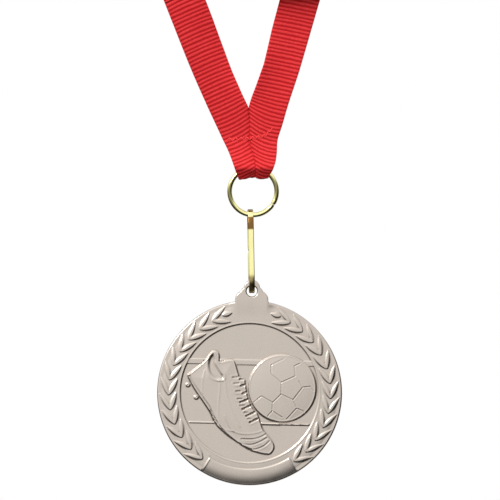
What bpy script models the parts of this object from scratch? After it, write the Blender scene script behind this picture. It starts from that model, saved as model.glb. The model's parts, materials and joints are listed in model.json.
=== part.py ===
"""A struck sports medal hanging from a folded neck ribbon.

The ribbon's two ends meet in a mitred V, pass through a round jump ring and are sewn up behind.
A long oval link joins the jump ring to the medal's lug. The rest of the ribbon is folded into a
hank above the V, and the whole part hangs from the top of the hank's tie, which is the origin.
Metres, +Z up; the medal's face looks along -Y.
"""

from math import atan2, cos, hypot, pi, radians, sin

import bpy
from mathutils import Matrix, Vector

MM = 0.001
CLEARANCE = 0.3 * MM  # between neighbours that touch on the real object

# Medal, in its own frame: centre of the disc at the origin, lug upwards.
DISC_RADIUS = 25.0 * MM
DISC_THICKNESS = 2.4 * MM
MEDAL_CENTRE = Vector((-0.1, 0.0, -118.8)) * MM
MEDAL_TILT = radians(1.3)
HOLE_HEIGHT = 27.45 * MM
HOLE_RADIUS = 1.42 * MM
LUG_TOP_RADIUS = 2.15 * MM
LUG_TOP_HEIGHT = 28.4 * MM
LUG_SHOULDER_RADIUS = 2.6 * MM
LUG_SHOULDER_OFFSET = 1.9 * MM
LUG_SHOULDER_HEIGHT = 25.1 * MM
LUG_THICKNESS = 2.3 * MM
LUG_ROOT_TURN = radians(-50)  # where each shoulder arc starts, inside the disc

# Levels of the struck face, measured forwards from the disc's middle plane.
FIELD_LEVEL = 0.8 * MM
GROUND_LEVEL = 0.92 * MM
RELIEF_LEVEL = 1.15 * MM
BOOT_LEVEL = 1.3 * MM
BEAD_RADIUS = 19.0 * MM
BEAD_WIDTH = 0.5 * MM
BEAD_SLOPE = 0.2 * MM
RIM_WIDTH = 1.6 * MM
RIM_ROUND = 0.7 * MM
RIM_FRONT_TURN = radians(60)  # where the rim's front rounding starts
RELIEF_ROOT = 0.3 * MM  # how far each raised figure is sunk into the disc

BALL_CENTRE = Vector((8.7, 1.2)) * MM
BALL_RADIUS = 9.2 * MM
BALL_DOME = 0.6 * MM
BALL_SEGMENTS, BALL_RINGS = 28, 14
BANNER_ANGLES = (238.0, 302.0)
BANNER_RADII = (20.7 * MM, 24.3 * MM)
LEAF_PAIRS = 12
LEAF_START, LEAF_END = 120.0, 234.0
LEAF_RADIUS = 21.9 * MM
LEAF_LENGTH = 3.6 * MM
LEAF_WIDTH = 1.3 * MM
LEAF_SPREAD = radians(24)
LEAF_STEM_GAP = 0.75 * MM
LEAF_MARGIN = 0.4 * MM  # kept free inside the disc's edge
# An almond's side: (share of the length, share of the half width).
LEAF_SIDE = ((0.0, 0.0), (0.25, 0.8), (0.5, 1.0), (0.8, 0.6), (1.0, 0.0))

# Boot outline, clockwise from the heel's top: (x, height) in millimetres from the disc's centre.
BOOT_OUTLINE = (
    (-16.9, 5.0), (-12.1, 8.7), (-9.8, 11.4), (-8.3, 10.4), (-7.9, 8.4), (-4.6, 8.9), (-2.9, 5.1),
    (-1.1, 2.4), (-0.5, -2.0), (1.5, -5.0), (3.2, -8.5), (5.4, -12.5), (6.5, -14.4), (5.8, -16.2),
    (2.6, -16.5), (-2.3, -14.6), (-7.8, -10.3), (-10.5, -6.2), (-13.3, -2.1), (-16.7, 3.2),
)

# Jump ring: round wire bent in the XZ plane, with a butt joint.
RING_CENTRE = Vector((0.85, 0.0, -64.35)) * MM
RING_RADIUS = 6.37 * MM
RING_WIRE = 0.65 * MM
RING_JOINT_ANGLE = radians(-33)
RING_JOINT_GAP = 0.2 * MM

# Link: a strip bent on edge into a long oval with elliptical ends, standing square to the ring.
LINK_TOP = Vector((0.05, 0.0, -69.2)) * MM
LINK_BOTTOM = Vector((0.5, 0.0, -91.85)) * MM
LINK_WIDTH = 1.5 * MM
LINK_THICKNESS = 0.7 * MM
LINK_HALF_DEPTH = 2.8 * MM
LINK_END_HEIGHT = 4.9 * MM
LINK_YAW = radians(3)
LINK_JOINT_GAP = 0.2 * MM

# Ribbon: 10 mm grosgrain.
RIBBON_THICKNESS = 0.5 * MM
STITCH_HEIGHT = -50.3 * MM
NOTCH = Vector((-0.48, -41.7)) * MM
CREASE_END = Vector((0.14, -50.3)) * MM
HANK_X = (-31.0 * MM, 28.0 * MM)
HANK_Z = (-10.8 * MM, -0.6 * MM)
HANK_DEPTH = 6.6 * MM
# Each strap's edges from the hank's underside to the cross stitch: (x, z) in millimetres.
LEFT_STRAP_OUTER = ((-23.9, -11.1), (-18.6, -24.0), (-13.6, -36.1), (-9.5, -45.3), (-6.7, -50.3))
LEFT_STRAP_INNER = ((-4.3, -32.9), (-8.6, -21.5), (-12.6, -11.1))
RIGHT_STRAP_OUTER = ((19.1, -11.1), (13.3, -31.3), (7.8, -48.4), (7.4, -50.3))
RIGHT_STRAP_INNER = ((3.95, -29.1), (8.7, -11.1))

# Tail loop: the ends of both straps, folded up behind round the ring's upper arc.
LOOP_FOLD_HEIGHT = -60.9 * MM
LOOP_HALF_DEPTH = 1.4 * MM
LOOP_BEND_HEIGHT = 2.0 * MM
LOOP_POCKET_TOP = -56.6 * MM
LOOP_CLOSED_HEIGHT = -53.5 * MM
LOOP_TOP_HALF_DEPTH = 0.6 * MM
LOOP_TOP_X = (-6.6 * MM, 7.3 * MM)
LOOP_WIDE_HEIGHT = -58.9 * MM
LOOP_WIDE_X = (-3.7 * MM, 6.2 * MM)
LOOP_FOLD_X = (-2.85 * MM, 4.75 * MM)
LOOP_POCKET_TIP = 0.1 * MM  # half the pocket's width where its layers close
HANK_ROUNDING = 0.4 * MM

# Tie: a band round the middle of the hank.
TIE_WIDTH = 8.0 * MM
TIE_THICKNESS = 0.3 * MM
TIE_CORNER = 0.6 * MM

THREAD_RADIUS = 0.14 * MM
CROSS_STITCH_X = (-6.2 * MM, 6.8 * MM)
CROSS_STITCHES = 11
CROSS_STITCH_HEIGHTS = (1.4 * MM, 0.75 * MM)  # of its corners, above the stitch line
SEAM_STITCHES = 6
SEAM_START, SEAM_END = 0.08, 0.92  # shares of the way from the notch to the crease's end
SEAM_LIFT = 0.15 * MM

DISC_STEPS = 72
ARC_STEP = radians(9)
SMALL_ARC_STEP = radians(30)  # for the rim's rounding
BEND_STEPS = 12
WELD_DISTANCE = 0.002 * MM
AXIS_WELD_DISTANCE = 0.01 * MM
SHARP_ANGLE = radians(35)


def start_collections():
    """Empties the file and makes one collection for the parts and one for the cutters."""
    for leftover in list(bpy.data.objects):
        bpy.data.objects.remove(leftover, do_unlink=True)
    parts = bpy.data.collections.new("medal")
    cutters = bpy.data.collections.new("cutters")
    for collection in (parts, cutters):
        bpy.context.scene.collection.children.link(collection)
    return parts, cutters


PARTS, CUTTERS = start_collections()


def material(name, colour, roughness, metallic=0.0):
    made = bpy.data.materials.new(name)
    made.use_nodes = True
    shader = made.node_tree.nodes["Principled BSDF"]
    shader.inputs["Base Color"].default_value = (*colour, 1.0)
    shader.inputs["Roughness"].default_value = roughness
    shader.inputs["Metallic"].default_value = metallic
    return made


NICKEL = material("nickel", (0.64, 0.60, 0.56), 0.3, 1.0)
BRASS = material("brass", (0.83, 0.68, 0.30), 0.2, 1.0)
RED_RIBBON = material("red_ribbon", (0.70, 0.02, 0.03), 0.7)
RED_THREAD = material("red_thread", (0.80, 0.04, 0.05), 0.6)
WHITE_BAND = material("white_band", (0.85, 0.85, 0.82), 0.8)


def arc(centre, radius, start, end, step=ARC_STEP):
    """Points (x, y) along an arc, both ends included."""
    steps = max(2, round(abs(end - start) / step))
    turns = (start + (end - start) * i / steps for i in range(steps + 1))
    return [(centre[0] + radius * cos(a), centre[1] + radius * sin(a)) for a in turns]


def half_ellipse(half_width, height, steps=18):
    """Points of a U that hangs from y = 0: from +half_width round the bottom to -half_width."""
    turns = (pi * i / steps for i in range(steps + 1))
    return [(half_width * cos(a), -height * sin(a)) for a in turns]


def in_mm(points):
    return [(x * MM, y * MM) for x, y in points]


def add_poly_spline(curve, points, closed=True):
    spline = curve.splines.new("POLY")
    spline.points.add(len(points) - 1)
    for point, place in zip(spline.points, points):
        point.co = (*place, *(0.0,) * (3 - len(place)), 1.0)
    spline.use_cyclic_u = closed


def curve_to_mesh(curve_object):
    """Replaces a curve object by a mesh object with its caps welded."""
    bpy.context.view_layer.update()
    evaluated = curve_object.evaluated_get(bpy.context.evaluated_depsgraph_get())
    mesh = bpy.data.meshes.new_from_object(evaluated)
    name, matrix = curve_object.name, curve_object.matrix_world.copy()
    bpy.data.objects.remove(curve_object, do_unlink=True)
    made = bpy.data.objects.new(name, mesh)
    PARTS.objects.link(made)
    made.matrix_world = matrix
    select_only(made)
    bpy.ops.object.mode_set(mode="EDIT")
    bpy.ops.mesh.select_all(action="SELECT")
    bpy.ops.mesh.remove_doubles(threshold=WELD_DISTANCE)
    bpy.ops.object.mode_set(mode="OBJECT")
    return made


def select_only(thing):
    bpy.ops.object.select_all(action="DESELECT")
    thing.select_set(True)
    bpy.context.view_layer.objects.active = thing


def flat_plate(name, outlines, thickness, turn):
    """A plate with one outer outline and any holes, turned out of the XY plane."""
    curve = bpy.data.curves.new(name, "CURVE")
    curve.dimensions = "2D"
    curve.fill_mode = "BOTH"
    curve.extrude = thickness / 2
    for outline in outlines:
        add_poly_spline(curve, outline)
    plate = bpy.data.objects.new(name, curve)
    plate.matrix_world = turn
    PARTS.objects.link(plate)
    return curve_to_mesh(plate)


def wire(name, points, radius, closed=False):
    curve = bpy.data.curves.new(name, "CURVE")
    curve.dimensions = "3D"
    curve.bevel_depth = radius
    curve.bevel_resolution = 2
    curve.use_fill_caps = True
    add_poly_spline(curve, points, closed)
    made = bpy.data.objects.new(name, curve)
    PARTS.objects.link(made)
    return curve_to_mesh(made)


# A plate drawn in XY faces -Y after FACING_FRONT, and stands square to it after ON_EDGE.
FACING_FRONT = Matrix.Rotation(pi / 2, 4, "X")
ON_EDGE = Matrix(((0, 0, 1, 0), (1, 0, 0, 0), (0, 1, 0, 0), (0, 0, 0, 1)))


def to_cutters(thing):
    for collection in list(thing.users_collection):
        collection.objects.unlink(thing)
    CUTTERS.objects.link(thing)
    thing.hide_render = True
    thing.display_type = "WIRE"


def combine(target, other, operation):
    """Applies a Boolean to target, and puts the other object away."""
    modifier = target.modifiers.new(operation.lower(), "BOOLEAN")
    modifier.operation = operation
    modifier.solver = "EXACT"
    modifier.object = other
    select_only(target)
    bpy.ops.object.modifier_apply(modifier=modifier.name)
    to_cutters(other)


def finish(thing, look):
    """Bakes the transform into the mesh, then sets the material and the shading."""
    thing.data.transform(thing.matrix_world)
    thing.matrix_world = Matrix.Identity(4)
    thing.data.materials.clear()
    thing.data.materials.append(look)
    thing.data.shade_smooth()
    thing.data.set_sharp_from_angle(angle=SHARP_ANGLE)
    return thing


def set_origin(thing, place):
    """Moves an object's origin to a point, leaving its shape where it is."""
    thing.data.transform(Matrix.Translation(-place))
    thing.location = place


# ------------------------------------------------------------------------------------- medal


def disc_blank():
    """The turned disc: a flat back, a rounded rim, a bead ring and a sunken field in front."""
    half = DISC_THICKNESS / 2
    inner, outer = BEAD_RADIUS - BEAD_WIDTH / 2, BEAD_RADIUS + BEAD_WIDTH / 2
    front = [
        (0.0, FIELD_LEVEL),
        (inner - BEAD_SLOPE, FIELD_LEVEL),
        (inner, RELIEF_LEVEL),
        (outer, RELIEF_LEVEL),
        (outer + BEAD_SLOPE, GROUND_LEVEL),
        (DISC_RADIUS - RIM_WIDTH, GROUND_LEVEL),
        (DISC_RADIUS - RIM_ROUND, half),
    ]
    rim_front = arc(
        (DISC_RADIUS - RIM_ROUND, half - RIM_ROUND), RIM_ROUND, RIM_FRONT_TURN, 0.0, SMALL_ARC_STEP
    )
    back_round = RIM_ROUND / 2
    rim_back = arc(
        (DISC_RADIUS - back_round, back_round - half), back_round, 0.0, -pi / 2, SMALL_ARC_STEP
    )
    profile = front + rim_front + rim_back + [(0.0, -half)]
    mesh = bpy.data.meshes.new("medal_disc")
    edges = [(i, i + 1) for i in range(len(profile) - 1)]
    mesh.from_pydata([(x, 0.0, z) for x, z in profile], edges, [])
    blank = bpy.data.objects.new("medal_disc", mesh)
    PARTS.objects.link(blank)
    turning = blank.modifiers.new("turning", "SCREW")
    turning.steps = turning.render_steps = DISC_STEPS
    turning.use_merge_vertices = True
    turning.merge_threshold = AXIS_WELD_DISTANCE
    select_only(blank)
    bpy.ops.object.modifier_apply(modifier=turning.name)
    blank.matrix_world = FACING_FRONT
    return blank


def circles_meet(centre_a, radius_a, centre_b, radius_b):
    """The point where two circles cross, on the left of the line from a to b."""
    apart = centre_b - centre_a
    distance = apart.length
    along = (distance**2 + radius_a**2 - radius_b**2) / (2 * distance)
    across = (radius_a**2 - along**2) ** 0.5
    ahead = apart / distance
    return centre_a + ahead * along + Vector((-ahead.y, ahead.x)) * across


def turn_of(point, centre):
    return atan2(point.y - centre.y, point.x - centre.x)


def lug_outlines():
    """A bell outline from two shoulder arcs and a top arc, and the round hole."""
    top = Vector((0.0, LUG_TOP_HEIGHT))
    shoulder = Vector((LUG_SHOULDER_OFFSET, LUG_SHOULDER_HEIGHT))
    kink = circles_meet(shoulder, LUG_SHOULDER_RADIUS, top, LUG_TOP_RADIUS)
    if kink.x < 0:
        kink = circles_meet(top, LUG_TOP_RADIUS, shoulder, LUG_SHOULDER_RADIUS)
    right = arc(shoulder, LUG_SHOULDER_RADIUS, LUG_ROOT_TURN, turn_of(kink, shoulder))
    crown = arc(top, LUG_TOP_RADIUS, turn_of(kink, top), pi / 2)[1:]
    half = right + crown
    outer = half + [(-x, y) for x, y in reversed(half[:-1])]
    return [outer, arc((0.0, HOLE_HEIGHT), HOLE_RADIUS, 0.0, 2 * pi)[:-1]]


def raised_plate(name, outline, level):
    """A raised figure on the face, from inside the disc up to level."""
    root = FIELD_LEVEL - RELIEF_ROOT
    plate = flat_plate(name, [outline], level - root, FACING_FRONT)
    plate.location.y = -(level + root) / 2
    return plate


def leaf_outline(centre, direction):
    """An almond leaf that starts at a point and runs along a direction."""
    along, across = (cos(direction), sin(direction)), (-sin(direction), cos(direction))
    shape = [(x * LEAF_LENGTH, y * LEAF_WIDTH / 2) for x, y in LEAF_SIDE]
    shape += [(x, -y) for x, y in reversed(shape[1:-1])]
    return [
        (centre[0] + u * along[0] + v * across[0], centre[1] + u * along[1] + v * across[1])
        for u, v in shape
    ]


def leaf_outlines():
    """Both branches: pairs of leaves that open along the stem, mirrored about the middle."""
    outlines = []
    for i in range(LEAF_PAIRS):
        angle = radians(LEAF_START + (LEAF_END - LEAF_START) * i / (LEAF_PAIRS - 1))
        upwards = angle - pi / 2
        for side in (1, -1):
            radius = LEAF_RADIUS + side * LEAF_STEM_GAP
            root = (radius * cos(angle), radius * sin(angle))
            leaf = leaf_outline(root, upwards + side * LEAF_SPREAD)
            if max(hypot(x, y) for x, y in leaf) < DISC_RADIUS - LEAF_MARGIN:
                outlines += [leaf, [(-x, y) for x, y in reversed(leaf)]]
    return outlines


def medal_disc():
    medal = disc_blank()
    combine(medal, flat_plate("lug", lug_outlines(), LUG_THICKNESS, FACING_FRONT), "UNION")

    bpy.ops.mesh.primitive_uv_sphere_add(segments=BALL_SEGMENTS, ring_count=BALL_RINGS, radius=BALL_RADIUS)
    ball = bpy.context.object
    ball.scale.y = (BALL_DOME + RELIEF_ROOT) / BALL_RADIUS
    ball.location = (BALL_CENTRE.x, -(FIELD_LEVEL - RELIEF_ROOT), BALL_CENTRE.y)
    combine(medal, ball, "UNION")

    boot = raised_plate("boot", in_mm(BOOT_OUTLINE), BOOT_LEVEL)
    combine(medal, boot, "UNION")

    start, end = (radians(a) for a in BANNER_ANGLES)
    banner_outline = arc((0, 0), BANNER_RADII[1], start, end) + arc((0, 0), BANNER_RADII[0], end, start)
    combine(medal, raised_plate("banner", banner_outline, RELIEF_LEVEL), "UNION")

    leaves = flat_plate("leaves", leaf_outlines(), RELIEF_LEVEL - FIELD_LEVEL + RELIEF_ROOT, FACING_FRONT)
    leaves.location.y = -(RELIEF_LEVEL + FIELD_LEVEL - RELIEF_ROOT) / 2
    combine(medal, leaves, "UNION")

    finish(medal, NICKEL)
    medal.data.transform(Matrix.Rotation(MEDAL_TILT, 4, "Y"))
    medal.data.transform(Matrix.Translation(MEDAL_CENTRE))
    hole = Vector((HOLE_HEIGHT * sin(MEDAL_TILT), 0.0, HOLE_HEIGHT * cos(MEDAL_TILT)))
    set_origin(medal, MEDAL_CENTRE + hole)


# -------------------------------------------------------------------------- ring and oval link


def ribbon_ring():
    gap = RING_JOINT_GAP / RING_RADIUS
    turns = arc((0, 0), RING_RADIUS, RING_JOINT_ANGLE + gap / 2, RING_JOINT_ANGLE + 2 * pi - gap / 2)
    ring = wire("ribbon_ring", [(x, 0.0, z) for x, z in turns], RING_WIRE)
    finish(ring, BRASS)
    ring.data.transform(Matrix.Translation(RING_CENTRE))
    set_origin(ring, RING_CENTRE)


def oval(half_depth, half_length, end_height):
    """A long oval about the origin: straight sides, with half an ellipse at each end."""
    straight = half_length - end_height
    lower = [(x, y - straight) for x, y in half_ellipse(half_depth, end_height)]
    return lower + [(-x, -y) for x, y in lower]


def oval_link():
    """The strip's ends butt in the middle of the leg behind."""
    half_length = (LINK_TOP - LINK_BOTTOM).length / 2
    outer = oval(LINK_HALF_DEPTH, half_length, LINK_END_HEIGHT)
    inner = oval(
        LINK_HALF_DEPTH - LINK_THICKNESS, half_length - LINK_THICKNESS, LINK_END_HEIGHT - LINK_THICKNESS
    )
    link = flat_plate("oval_link", [outer, inner], LINK_WIDTH, ON_EDGE)
    bpy.ops.mesh.primitive_cube_add(size=1.0)
    saw = bpy.context.object
    saw.scale = (2 * LINK_WIDTH, 2 * LINK_THICKNESS, LINK_JOINT_GAP)
    saw.location = (0.0, LINK_HALF_DEPTH - LINK_THICKNESS / 2, 0.0)
    combine(link, saw, "DIFFERENCE")
    finish(link, BRASS)
    run = LINK_TOP - LINK_BOTTOM
    link.data.transform(Matrix.Rotation(LINK_YAW, 4, "Z"))
    link.data.transform(Matrix.Rotation(atan2(run.x, run.z), 4, "Y"))
    link.data.transform(Matrix.Translation((LINK_TOP + LINK_BOTTOM) / 2))
    set_origin(link, RING_CENTRE - Vector((0.0, 0.0, RING_RADIUS)))


# ------------------------------------------------------------------------------------ ribbon


def straps():
    """Both straps, from under the hank to the cross stitch, meeting along the mitre's crease."""
    apart = CLEARANCE / 2
    notch, crease = (NOTCH / MM), (CREASE_END / MM)
    for name, outer, inner, side in (
        ("ribbon_left_strap", LEFT_STRAP_OUTER, LEFT_STRAP_INNER, -1),
        ("ribbon_right_strap", RIGHT_STRAP_OUTER, RIGHT_STRAP_INNER, 1),
    ):
        shift = side * apart / MM
        middle = ((crease.x + shift, crease.y), (notch.x + shift, notch.y))
        strap = flat_plate(name, [in_mm(outer + middle + inner)], RIBBON_THICKNESS, FACING_FRONT)
        finish(strap, RED_RIBBON)


def loop_span(z):
    """The tail loop's left and right edges at a height: wide at the stitch, drawn in at the fold."""
    top = STITCH_HEIGHT - CLEARANCE
    if z > LOOP_WIDE_HEIGHT:
        share = (z - LOOP_WIDE_HEIGHT) / (top - LOOP_WIDE_HEIGHT)
        ends = LOOP_WIDE_X, LOOP_TOP_X
    else:
        share = (z - LOOP_FOLD_HEIGHT) / (LOOP_WIDE_HEIGHT - LOOP_FOLD_HEIGHT)
        ends = LOOP_FOLD_X, LOOP_WIDE_X
    return [low + (high - low) * share for low, high in zip(*ends)]


def ribbon_tail_loop():
    """Two layers joined by the fold below and the stitch above, with the ring's pocket between."""
    top = STITCH_HEIGHT - CLEARANCE
    layer = RIBBON_THICKNESS
    bend = LOOP_FOLD_HEIGHT + LOOP_BEND_HEIGHT
    outer_fold = [(y, z + bend) for y, z in half_ellipse(LOOP_HALF_DEPTH, LOOP_BEND_HEIGHT, BEND_STEPS)]
    inner_fold = [
        (y, z + bend)
        for y, z in half_ellipse(LOOP_HALF_DEPTH - layer, LOOP_BEND_HEIGHT - layer, BEND_STEPS)
    ]
    shoulder = LOOP_POCKET_TOP
    outer = (
        [(LOOP_TOP_HALF_DEPTH, top), (LOOP_HALF_DEPTH, shoulder)]
        + outer_fold
        + [(-LOOP_HALF_DEPTH, shoulder), (-LOOP_TOP_HALF_DEPTH, top)]
    )
    inner = (
        [(LOOP_POCKET_TIP, LOOP_CLOSED_HEIGHT), (LOOP_HALF_DEPTH - layer, shoulder)]
        + inner_fold
        + [(layer - LOOP_HALF_DEPTH, shoulder), (-LOOP_POCKET_TIP, LOOP_CLOSED_HEIGHT)]
    )
    loop = flat_plate("ribbon_tail_loop", [outer, inner], 1.0, ON_EDGE)
    finish(loop, RED_RIBBON)
    for vertex in loop.data.vertices:
        low, high = loop_span(vertex.co.z)
        vertex.co.x = low + (high - low) * (vertex.co.x + 0.5)


def block(name, size, centre, rounding, look):
    bpy.ops.mesh.primitive_cube_add(size=1.0)
    made = bpy.context.object
    made.name = name
    for collection in list(made.users_collection):
        collection.objects.unlink(made)
    PARTS.objects.link(made)
    made.data.transform(Matrix.Diagonal((*size, 1.0)))
    made.data.transform(Matrix.Translation(centre))
    edges = made.modifiers.new("edges", "BEVEL")
    edges.width = rounding
    edges.segments = 3
    select_only(made)
    bpy.ops.object.modifier_apply(modifier=edges.name)
    return finish(made, look)


def ribbon_hank():
    size = (HANK_X[1] - HANK_X[0], HANK_DEPTH, HANK_Z[1] - HANK_Z[0])
    centre = Vector((sum(HANK_X) / 2, 0.0, sum(HANK_Z) / 2))
    return block("ribbon_hank", size, centre, HANK_ROUNDING, RED_RIBBON)


def hank_tie():
    """A flat band round the hank, a clearance away from it."""
    centre = (0.0, sum(HANK_Z) / 2)

    def rectangle(grow, corner):
        half_depth = HANK_DEPTH / 2 + grow
        half_height = (HANK_Z[1] - HANK_Z[0]) / 2 + grow
        points = []
        for quarter, (side, up) in enumerate(((1, 1), (-1, 1), (-1, -1), (1, -1))):
            middle = (
                centre[0] + side * (half_depth - corner),
                centre[1] + up * (half_height - corner),
            )
            points += arc(middle, corner, quarter * pi / 2, (quarter + 1) * pi / 2)
        return points

    outer = rectangle(CLEARANCE + TIE_THICKNESS, TIE_CORNER)
    inner = rectangle(CLEARANCE, TIE_CORNER - TIE_THICKNESS)
    finish(flat_plate("hank_tie", [outer, inner], TIE_WIDTH, ON_EDGE), WHITE_BAND)


# ----------------------------------------------------------------------------------- threads


def cross_stitch_thread():
    """A zigzag across the front, a clearance away from the straps."""
    y = -(RIBBON_THICKNESS / 2 + CLEARANCE + THREAD_RADIUS)
    left, right = CROSS_STITCH_X
    points = []
    for i in range(CROSS_STITCHES + 1):
        x = left + (right - left) * i / CROSS_STITCHES
        points.append((x, y, STITCH_HEIGHT + CROSS_STITCH_HEIGHTS[i % 2]))
    finish(wire("cross_stitch_thread", points, THREAD_RADIUS), RED_THREAD)


def mitre_seam_thread():
    """A row of stitches down the back of the crease, from the notch to the cross stitch."""
    y = RIBBON_THICKNESS / 2 + CLEARANCE + THREAD_RADIUS
    start, end = NOTCH, CREASE_END
    points = []
    for i in range(SEAM_STITCHES + 1):
        x, z = start.lerp(end, SEAM_START + (SEAM_END - SEAM_START) * i / SEAM_STITCHES)
        lift = SEAM_LIFT if i % 2 else 0.0
        points.append((x, y + lift, z))
    finish(wire("mitre_seam_thread", points, THREAD_RADIUS), RED_THREAD)


medal_disc()
ribbon_ring()
oval_link()
straps()
ribbon_tail_loop()
ribbon_hank()
hank_tie()
cross_stitch_thread()
mitre_seam_thread()
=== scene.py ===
"""Looks for the hanging medal: a struck disc, a wire ring, an oval link and a folded ribbon.

Sizes are millimetres in each piece's own sketch and metres in the scene. Every piece is a mesh
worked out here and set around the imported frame.
"""

import json
from math import atan2, cos, hypot, pi, radians, sin, tan

import bpy
import numpy as np
from mathutils import Matrix, Vector


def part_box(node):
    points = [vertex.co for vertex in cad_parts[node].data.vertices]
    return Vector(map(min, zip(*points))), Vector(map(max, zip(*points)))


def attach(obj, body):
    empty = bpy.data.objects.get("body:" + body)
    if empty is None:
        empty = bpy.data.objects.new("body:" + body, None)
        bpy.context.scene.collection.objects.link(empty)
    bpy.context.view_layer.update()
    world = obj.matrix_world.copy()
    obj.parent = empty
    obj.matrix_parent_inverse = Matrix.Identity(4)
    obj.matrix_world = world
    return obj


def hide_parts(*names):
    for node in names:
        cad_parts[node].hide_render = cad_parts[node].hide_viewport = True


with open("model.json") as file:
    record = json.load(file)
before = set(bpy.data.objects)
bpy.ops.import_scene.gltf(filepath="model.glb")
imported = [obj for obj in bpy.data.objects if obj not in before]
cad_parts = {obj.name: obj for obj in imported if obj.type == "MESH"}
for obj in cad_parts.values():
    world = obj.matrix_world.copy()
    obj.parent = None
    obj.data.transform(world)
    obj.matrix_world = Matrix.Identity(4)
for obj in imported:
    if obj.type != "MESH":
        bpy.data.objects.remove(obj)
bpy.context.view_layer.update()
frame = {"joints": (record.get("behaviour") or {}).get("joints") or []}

MM = 0.001

# ---------------------------------------------------------------- places in the frame

# In metres, but for the disc's radius and the hole's height, which its sketch uses.
DISC_LOW, DISC_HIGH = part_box("medal_disc")
DISC_RADIUS = (DISC_HIGH.x - DISC_LOW.x) / 2 / MM
DISC_CENTRE = Vector(((DISC_LOW.x + DISC_HIGH.x) / 2, 0.0, DISC_LOW.z + DISC_RADIUS * MM))
JOINTS = {joint["name"]: joint for joint in frame["joints"]}
HOLE_PLACE = Vector(JOINTS["medal_swing"]["pos_m"]) - DISC_CENTRE
HOLE_HEIGHT = HOLE_PLACE.length / MM
MEDAL_TILT = atan2(HOLE_PLACE.x, HOLE_PLACE.z)

RING_LOW, RING_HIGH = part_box("ribbon_ring")
RING_WIRE = (RING_HIGH.y - RING_LOW.y) / 2
RING_RADIUS = (RING_HIGH.x - RING_LOW.x) / 2 - RING_WIRE
RING_CENTRE = Vector(((RING_LOW.x + RING_HIGH.x) / 2, 0.0, RING_LOW.z + RING_WIRE + RING_RADIUS))

LINK_LOW, LINK_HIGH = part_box("oval_link")
HANK_LOW, HANK_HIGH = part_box("ribbon_hank")
TIE_LOW, TIE_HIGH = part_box("hank_tie")

# ---------------------------------------------------------------- mesh helpers

END_POINTS, END_SIZE = 4, 0.8  # an open tube's last points at each end, and its size at the tip


def smooth(value, low, high):
    """0 below low, 1 above high, and a smooth step between."""
    share = np.clip((value - low) / (high - low), 0.0, 1.0)
    return share * share * (3 - 2 * share)


def bump(distance, half_width):
    """A rounded ridge: 1 on the line, 0 at half_width from it and beyond."""
    share = np.clip(np.abs(distance) / half_width, 0.0, 1.0)
    return (1 - share * share) ** 2


def curve_through(points, closed=False, steps=8):
    """A smooth curve through points (Catmull-Rom), as an array."""
    knots = np.asarray(points, float)
    if closed:
        knots = np.concatenate([knots[-1:], knots, knots[:2]])
    else:
        knots = np.concatenate([2 * knots[:1] - knots[1:2], knots, 2 * knots[-1:] - knots[-2:-1]])
    pieces = []
    t = np.arange(steps)[:, None] / steps
    for before, start, end, after in zip(knots, knots[1:], knots[2:], knots[3:]):
        tangent = (end - before) / 2 * t + (2 * before - 5 * start + 4 * end - after) / 2 * t**2
        pieces.append(start + tangent + (3 * (start - end) + after - before) / 2 * t**3)
    if not closed:
        pieces.append(knots[-2:-1])
    return np.concatenate(pieces)


def way_along(path):
    """The length along a chain of points, up to each of them."""
    return np.concatenate([[0.0], np.cumsum(np.linalg.norm(np.diff(path, axis=0), axis=1))])


def distance_to(path, x, z, closed=False):
    """How far each point (x, z) lies from a chain of straight pieces."""
    path = np.asarray(path, float)
    if closed:
        path = np.concatenate([path, path[:1]])
    nearest = np.full(x.shape, 1e6)
    for start, end in zip(path[:-1], path[1:]):
        run = end - start
        length = max(float(run @ run), 1e-12)
        share = np.clip(((x - start[0]) * run[0] + (z - start[1]) * run[1]) / length, 0.0, 1.0)
        away = np.hypot(x - start[0] - share * run[0], z - start[1] - share * run[1])
        nearest = np.minimum(nearest, away)
    return nearest


def depth_inside(outline, x, z):
    """Distance to a closed outline, positive inside it and negative outside."""
    inside = np.zeros(x.shape, bool)
    for (ax, az), (bx, bz) in zip(outline, np.roll(outline, -1, axis=0)):
        crosses = (az > z) != (bz > z)
        run = bz - az if abs(bz - az) > 1e-9 else 1e-9
        inside ^= crosses & (x < ax + (z - az) / run * (bx - ax))
    away = distance_to(outline, x, z, closed=True)
    return np.where(inside, away, -away)


def mesh_object(name, vertices, faces, look=None):
    mesh = bpy.data.meshes.new(name)
    mesh.from_pydata(np.asarray(vertices, float).tolist(), [], [list(map(int, f)) for f in faces])
    mesh.shade_smooth()
    if look:
        mesh.materials.append(look)
    made = bpy.data.objects.new(name, mesh)
    bpy.context.scene.collection.objects.link(made)
    return made


def grid_faces(rows, columns, wrap_columns=False, first=0):
    """Quads between the points of a grid stored row by row."""
    row = first + np.arange(rows - 1)[:, None] * columns
    column = np.arange(columns if wrap_columns else columns - 1)[None, :]
    after = (column + 1) % columns
    corners = [row + column, row + after, row + columns + after, row + columns + column]
    return list(np.stack(corners, -1).reshape(-1, 4))


def tube_faces(rows, columns):
    """The faces of a tube, closed at both ends."""
    faces = grid_faces(rows, columns, wrap_columns=True)
    faces.append(list(range(columns - 1, -1, -1)))
    faces.append([(rows - 1) * columns + i for i in range(columns)])
    return faces


def round_section(radius, count):
    turns = np.linspace(0, 2 * pi, count, endpoint=False)
    return [(radius * cos(turn), radius * sin(turn)) for turn in turns]


def rounded_rectangle(width, height, corner, steps=5):
    points = []
    for quarter, (right, up) in enumerate(((1, 1), (-1, 1), (-1, -1), (1, -1))):
        for i in range(steps):
            turn = pi / 2 * (quarter + i / (steps - 1))
            x = right * (width / 2 - corner) + corner * cos(turn)
            points.append((x, up * (height / 2 - corner) + corner * sin(turn)))
    return points


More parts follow.
